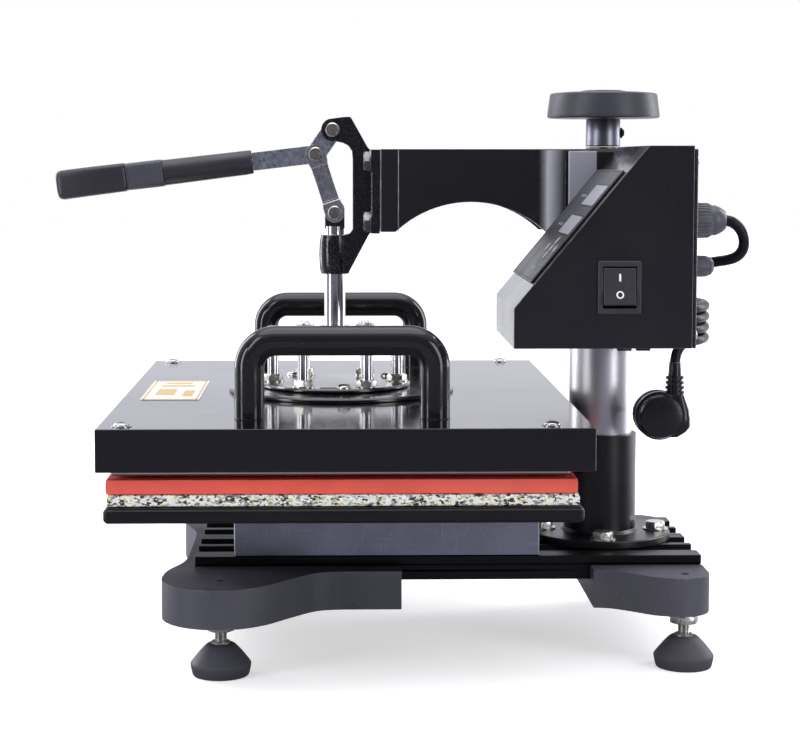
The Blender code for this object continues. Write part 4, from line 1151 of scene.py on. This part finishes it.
# --- lever and links --------------------------------------------------------------------------
def lever_frame(distance):
    """On the lever's centreline, that far from the link pivot; z runs to the grip, x up."""
    c, s = math.cos(LEVER_SLOPE), math.sin(LEVER_SLOPE)
    along = Vector((-c, 0, -s))
    up = Vector((-s, 0, c))
    turned = Matrix((up, along.cross(up), along)).transposed().to_4x4()
    origin = at(LINK_PIVOT[0], 0, LINK_PIVOT[1]) + along * distance
    return Matrix.Translation(origin) @ turned


def super_ring(place, up, down, half, power):
    """A rounded section of a grip: up and down from the middle, half to each side."""
    ring = []
    steps = 40
    for k in range(steps):
        a = 2 * math.pi * k / steps
        c, s = math.cos(a), math.sin(a)
        reach = up if c > 0 else down
        ring.append(place @ Vector((reach * math.copysign(abs(c) ** power, c),
                                    half * math.copysign(abs(s) ** power, s), 0)))
    return ring


def lever():
    dress("lever_bar", "lever_steel", 0.0009)
    sleeve = ((0.0447, 0.0060, 0.0060, 0.0052, 0.9), (0.0448, 0.0078, 0.0078, 0.0074, 0.9),
              (0.0456, 0.0083, 0.0083, 0.0080, 0.95), (0.0500, 0.0084, 0.0086, 0.0082, 1.0),
              (0.0700, 0.0085, 0.0088, 0.0085, 1.0), (0.0950, 0.0087, 0.0091, 0.0088, 1.0),
              (0.1075, 0.0088, 0.0092, 0.0090, 1.0), (0.1079, 0.0082, 0.0086, 0.0084, 1.0))
    waist = ((0.1077, 0.0080, 0.0082, 0.0080, 0.5), (0.1079, 0.0091, 0.0094, 0.0090, 0.42),
             (0.1090, 0.0094, 0.0097, 0.0094, 0.40), (0.1310, 0.0095, 0.0096, 0.0098, 0.40),
             (0.1336, 0.0093, 0.0094, 0.0098, 0.42), (0.1340, 0.0085, 0.0086, 0.0092, 0.42))
    paddle = ((0.1337, 0.0080, 0.0080, 0.0085, 0.45), (0.1340, 0.0094, 0.0094, 0.0112, 0.36),
              (0.1352, 0.0100, 0.0100, 0.0119, 0.34), (0.1600, 0.0101, 0.0103, 0.0120, 0.34),
              (0.1780, 0.0100, 0.0107, 0.0118, 0.36), (0.1805, 0.0096, 0.0102, 0.0112, 0.40),
              (0.1820, 0.0086, 0.0091, 0.0100, 0.45), (0.1826, 0.0068, 0.0072, 0.0080, 0.50))
    for name, skin, sections, stands_for in (("grip_sleeve", "grip", sleeve, ["lever_grip"]),
                                             ("grip_block", "grip_light", waist, ()),
                                             ("grip_paddle", "grip", paddle, ())):
        rings = [super_ring(lever_frame(distance), *section) for distance, *section in sections]
        piece(name, loft(rings), "lever", skin, stands_for)


def link_outline():
    """Half widths along the link: round ends and a waist, as (distance, half width)."""
    length = math.hypot(LINK_PIVOT[0] - SHAFT_PIVOT[0], LINK_PIVOT[1] - SHAFT_PIVOT[1])
    points = []
    for i in range(9):
        a = math.radians(90 * i / 8)
        points.append((-0.0070 * math.cos(a), 0.0070 * math.sin(a)))
    points += [(0.0052, 0.0069), (0.0080, 0.0062), (0.0092, 0.0060), (length / 2, 0.0058),
               (length - 0.0092, 0.0060), (length - 0.0080, 0.0062), (length - 0.0052, 0.0068)]
    for i in range(9):
        a = math.radians(90 * i / 8)
        points.append((length + 0.0069 * math.sin(a), 0.0069 * math.cos(a)))
    return points, length


def links():
    """Two strip-steel plates, set closer together between their bends."""
    points, length = link_outline()
    top = at(LINK_PIVOT[0], 0, LINK_PIVOT[1])
    along = (at(SHAFT_PIVOT[0], 0, SHAFT_PIVOT[1]) - top).normalized()
    across = along.cross(Y_AXIS)
    bend = 0.0088
    bend_line = 0.0092
    for name, side in (("near", -1), ("far", 1)):
        rings = []
        for d, half in points:
            inner = side * (0.0035 if bend < d < length - bend else 0.0046)
            outer = inner + side * 0.0026
            mid = top + along * d
            wide = across * max(half, 0.0002)
            rings.append([mid + wide + Y_AXIS * inner, mid - wide + Y_AXIS * inner,
                          mid - wide + Y_AXIS * outer, mid + wide + Y_AXIS * outer])
        piece("link_plate_" + name, loft(rings), "link", "link_steel", ["toggle_link_" + name],
              width=0.0007)
    bends = bmesh.new()
    for side in (-1, 1):
        for d in (bend_line, length - bend_line):
            mid = top + along * d + Y_AXIS * side * 0.00655
            line = [mid + across * w for w in (-0.0060, -0.0030, 0.0, 0.0030, 0.0060)]
            sweep(line, 0.00042, 8, bends)
    piece("link_bends", bends, "link", "zinc")
    rivet_pair("link_top_heads", LINK_PIVOT, 0.0073, "link", "link_pin")
    heads = bmesh.new()
    centres = bmesh.new()
    pin_heads(SHAFT_PIVOT, 0.0072, (0.0, 0.0004, 0.0012, 0.0017, 0.0016, 0.0008),
              (0.0007, 0.0011, 0.0013, 0.0013), heads, centres)
    piece("link_low_heads", heads, "link", "zinc")
    piece("link_low_centres", centres, "link", "dark_steel")


def all_skins():
    black = (0.006, 0.006, 0.009)
    deep = (0.004, 0.004, 0.006)
    soft_black = (0.008, 0.008, 0.012)
    clear = {"Coat_Weight": 0.6, "Coat_Roughness": 0.08}
    chrome_streak = (1, 1, 0.03)
    return {
        "paint": painted("black_paint", black, (0.16, 0.30), 0.00003, (0.10, 0.10, 0.11), **clear),
        "paint_dull": painted("dull_paint", deep, (0.26, 0.40), 0.00004, (0.12, 0.12, 0.13)),
        "paint_cover": painted("cover_paint", (0.003, 0.003, 0.005), (0.07, 0.15), 0.00002,
                               (0.13, 0.13, 0.14), Coat_Weight=0.2, Coat_Roughness=0.08),
        "paint_box": painted("box_paint", black, (0.20, 0.34), 0.00003, (0.14, 0.14, 0.15), **clear),
        "paint_tube": painted("tube_paint", (0.011, 0.011, 0.013), (0.07, 0.14), 0.00001, (0.05, 0.05, 0.05)),
        "satin": painted("satin_paint", soft_black, (0.24, 0.38), 0.00004, (0.12, 0.12, 0.13), **clear),
        "bracket_reflection_paint": bracket_reflection_paint(),
        "cheek": cheek_paint_with_highlight(),
        "casting": casting(),
        "enamel": enamel(),
        "extrusion": metal("black_extrusion", (0.035, 0.035, 0.038), (0.30, 0.46), (0.6, 30, 30), 12),
        "rubber": moulded("rubber", (0.056, 0.055, 0.074), (0.50, 0.72), 600, 0.00008),
        "plastic": moulded("moulded_plastic", (0.030, 0.030, 0.038), (0.28, 0.46)),
        "knob": moulded("knob_plastic", (0.040, 0.042, 0.058), (0.34, 0.52), 500, 0.00006),
        "gland": moulded("gland_plastic", (0.078, 0.078, 0.098), (0.30, 0.45)),
        "strap": moulded("strap", (0.015, 0.015, 0.016), (0.6, 0.8), 400, 0.0002),
        "cord": moulded("lead_sheath", (0.010, 0.010, 0.014), (0.24, 0.38), 300, 0.00003,
                        Specular_IOR_Level=0.2),
        "plug": moulded("plug_plastic", (0.008, 0.008, 0.011), (0.20, 0.34), 500, 0.00003),
        "chrome": metal("chrome", (0.78, 0.78, 0.82), (0.10, 0.20), chrome_streak, 70, 0.000005),
        # Pale grey for the arm's seam beads: a painted highlight.
        "seam_highlight": painted("seam_highlight", (0.20, 0.20, 0.24), (0.25, 0.40), 0.00002, (0.5, 0.5, 0.55)),
        "column_steel": metal("column_steel", (0.76, 0.75, 0.80), (0.34, 0.42), (1, 1, 0.25), 26, 0.000001,
                              (0.96, 1.03)),
        "dark_chrome": metal("knob_stem_steel", (0.24, 0.24, 0.30), (0.32, 0.44), (1, 1, 0.25), 26, 0.000001),
        "zinc": metal("zinc", (0.70, 0.69, 0.65), (0.20, 0.42), (1, 1, 1), 220),
        "dull_zinc": metal("dull_zinc", (0.34, 0.34, 0.37), (0.34, 0.52), (1, 1, 1), 220),
        "screw_steel": metal("screw_steel", (0.50, 0.50, 0.54), (0.22, 0.36), (1, 1, 1), 300),
        "dark_steel": metal("dark_steel", (0.30, 0.27, 0.26), (0.35, 0.55), (1, 1, 1), 400),
        "link_steel": worn_steel_with_highlights("link_steel", (0.68, 0.68, 0.76)),
        "lever_steel": worn_steel_with_highlights("lever_steel", (0.76, 0.79, 0.91)),
        "aluminium": metal("aluminium", (0.78, 0.78, 0.80), (0.28, 0.45), (1, 40, 40), 8),
        "sheet_steel": sheet_steel(),
        "silicone": red_silicone(),
        "foam": flecked_foam(),
        "wool": wool(),
        "grip": moulded("grip_rubber", (0.028, 0.026, 0.036), (0.26, 0.42), 700, 0.00004),
        "grip_light": moulded("grip_block_rubber", (0.062, 0.062, 0.082), (0.28, 0.44), 700, 0.00004),
        "panel": moulded("panel_film", (0.040, 0.040, 0.048), (0.30, 0.44), 1200, 0.00002),
        "screen": screen(),
        "key": printed("key_film", (0.30, 0.30, 0.33)),
        "print_light": printed("light_print", (0.80, 0.80, 0.80)),
        "print_dark": printed("dark_print", (0.012, 0.012, 0.014)),
        "print_grey": printed("grey_print", (0.22, 0.22, 0.24)),
        "print_ochre": printed("ochre_print", (0.66, 0.44, 0.16)),
        "label": printed("label_film", (0.80, 0.79, 0.70), 0.25),
        # Near-black: painted shade for the oil hole, the crown's slot and the screws' cross recesses; the
        # stem's set screw is near-black too.
        "hole": printed("hole", (0.002, 0.002, 0.002), 0.9),
    }


def build():
    camera()
    lead()
    feet()
    base()
    pads()
    knob()
    arm()
    control_box()
    platen()
    lever()
    links()
    studio()
    floor()


SKINS = all_skins()
build()
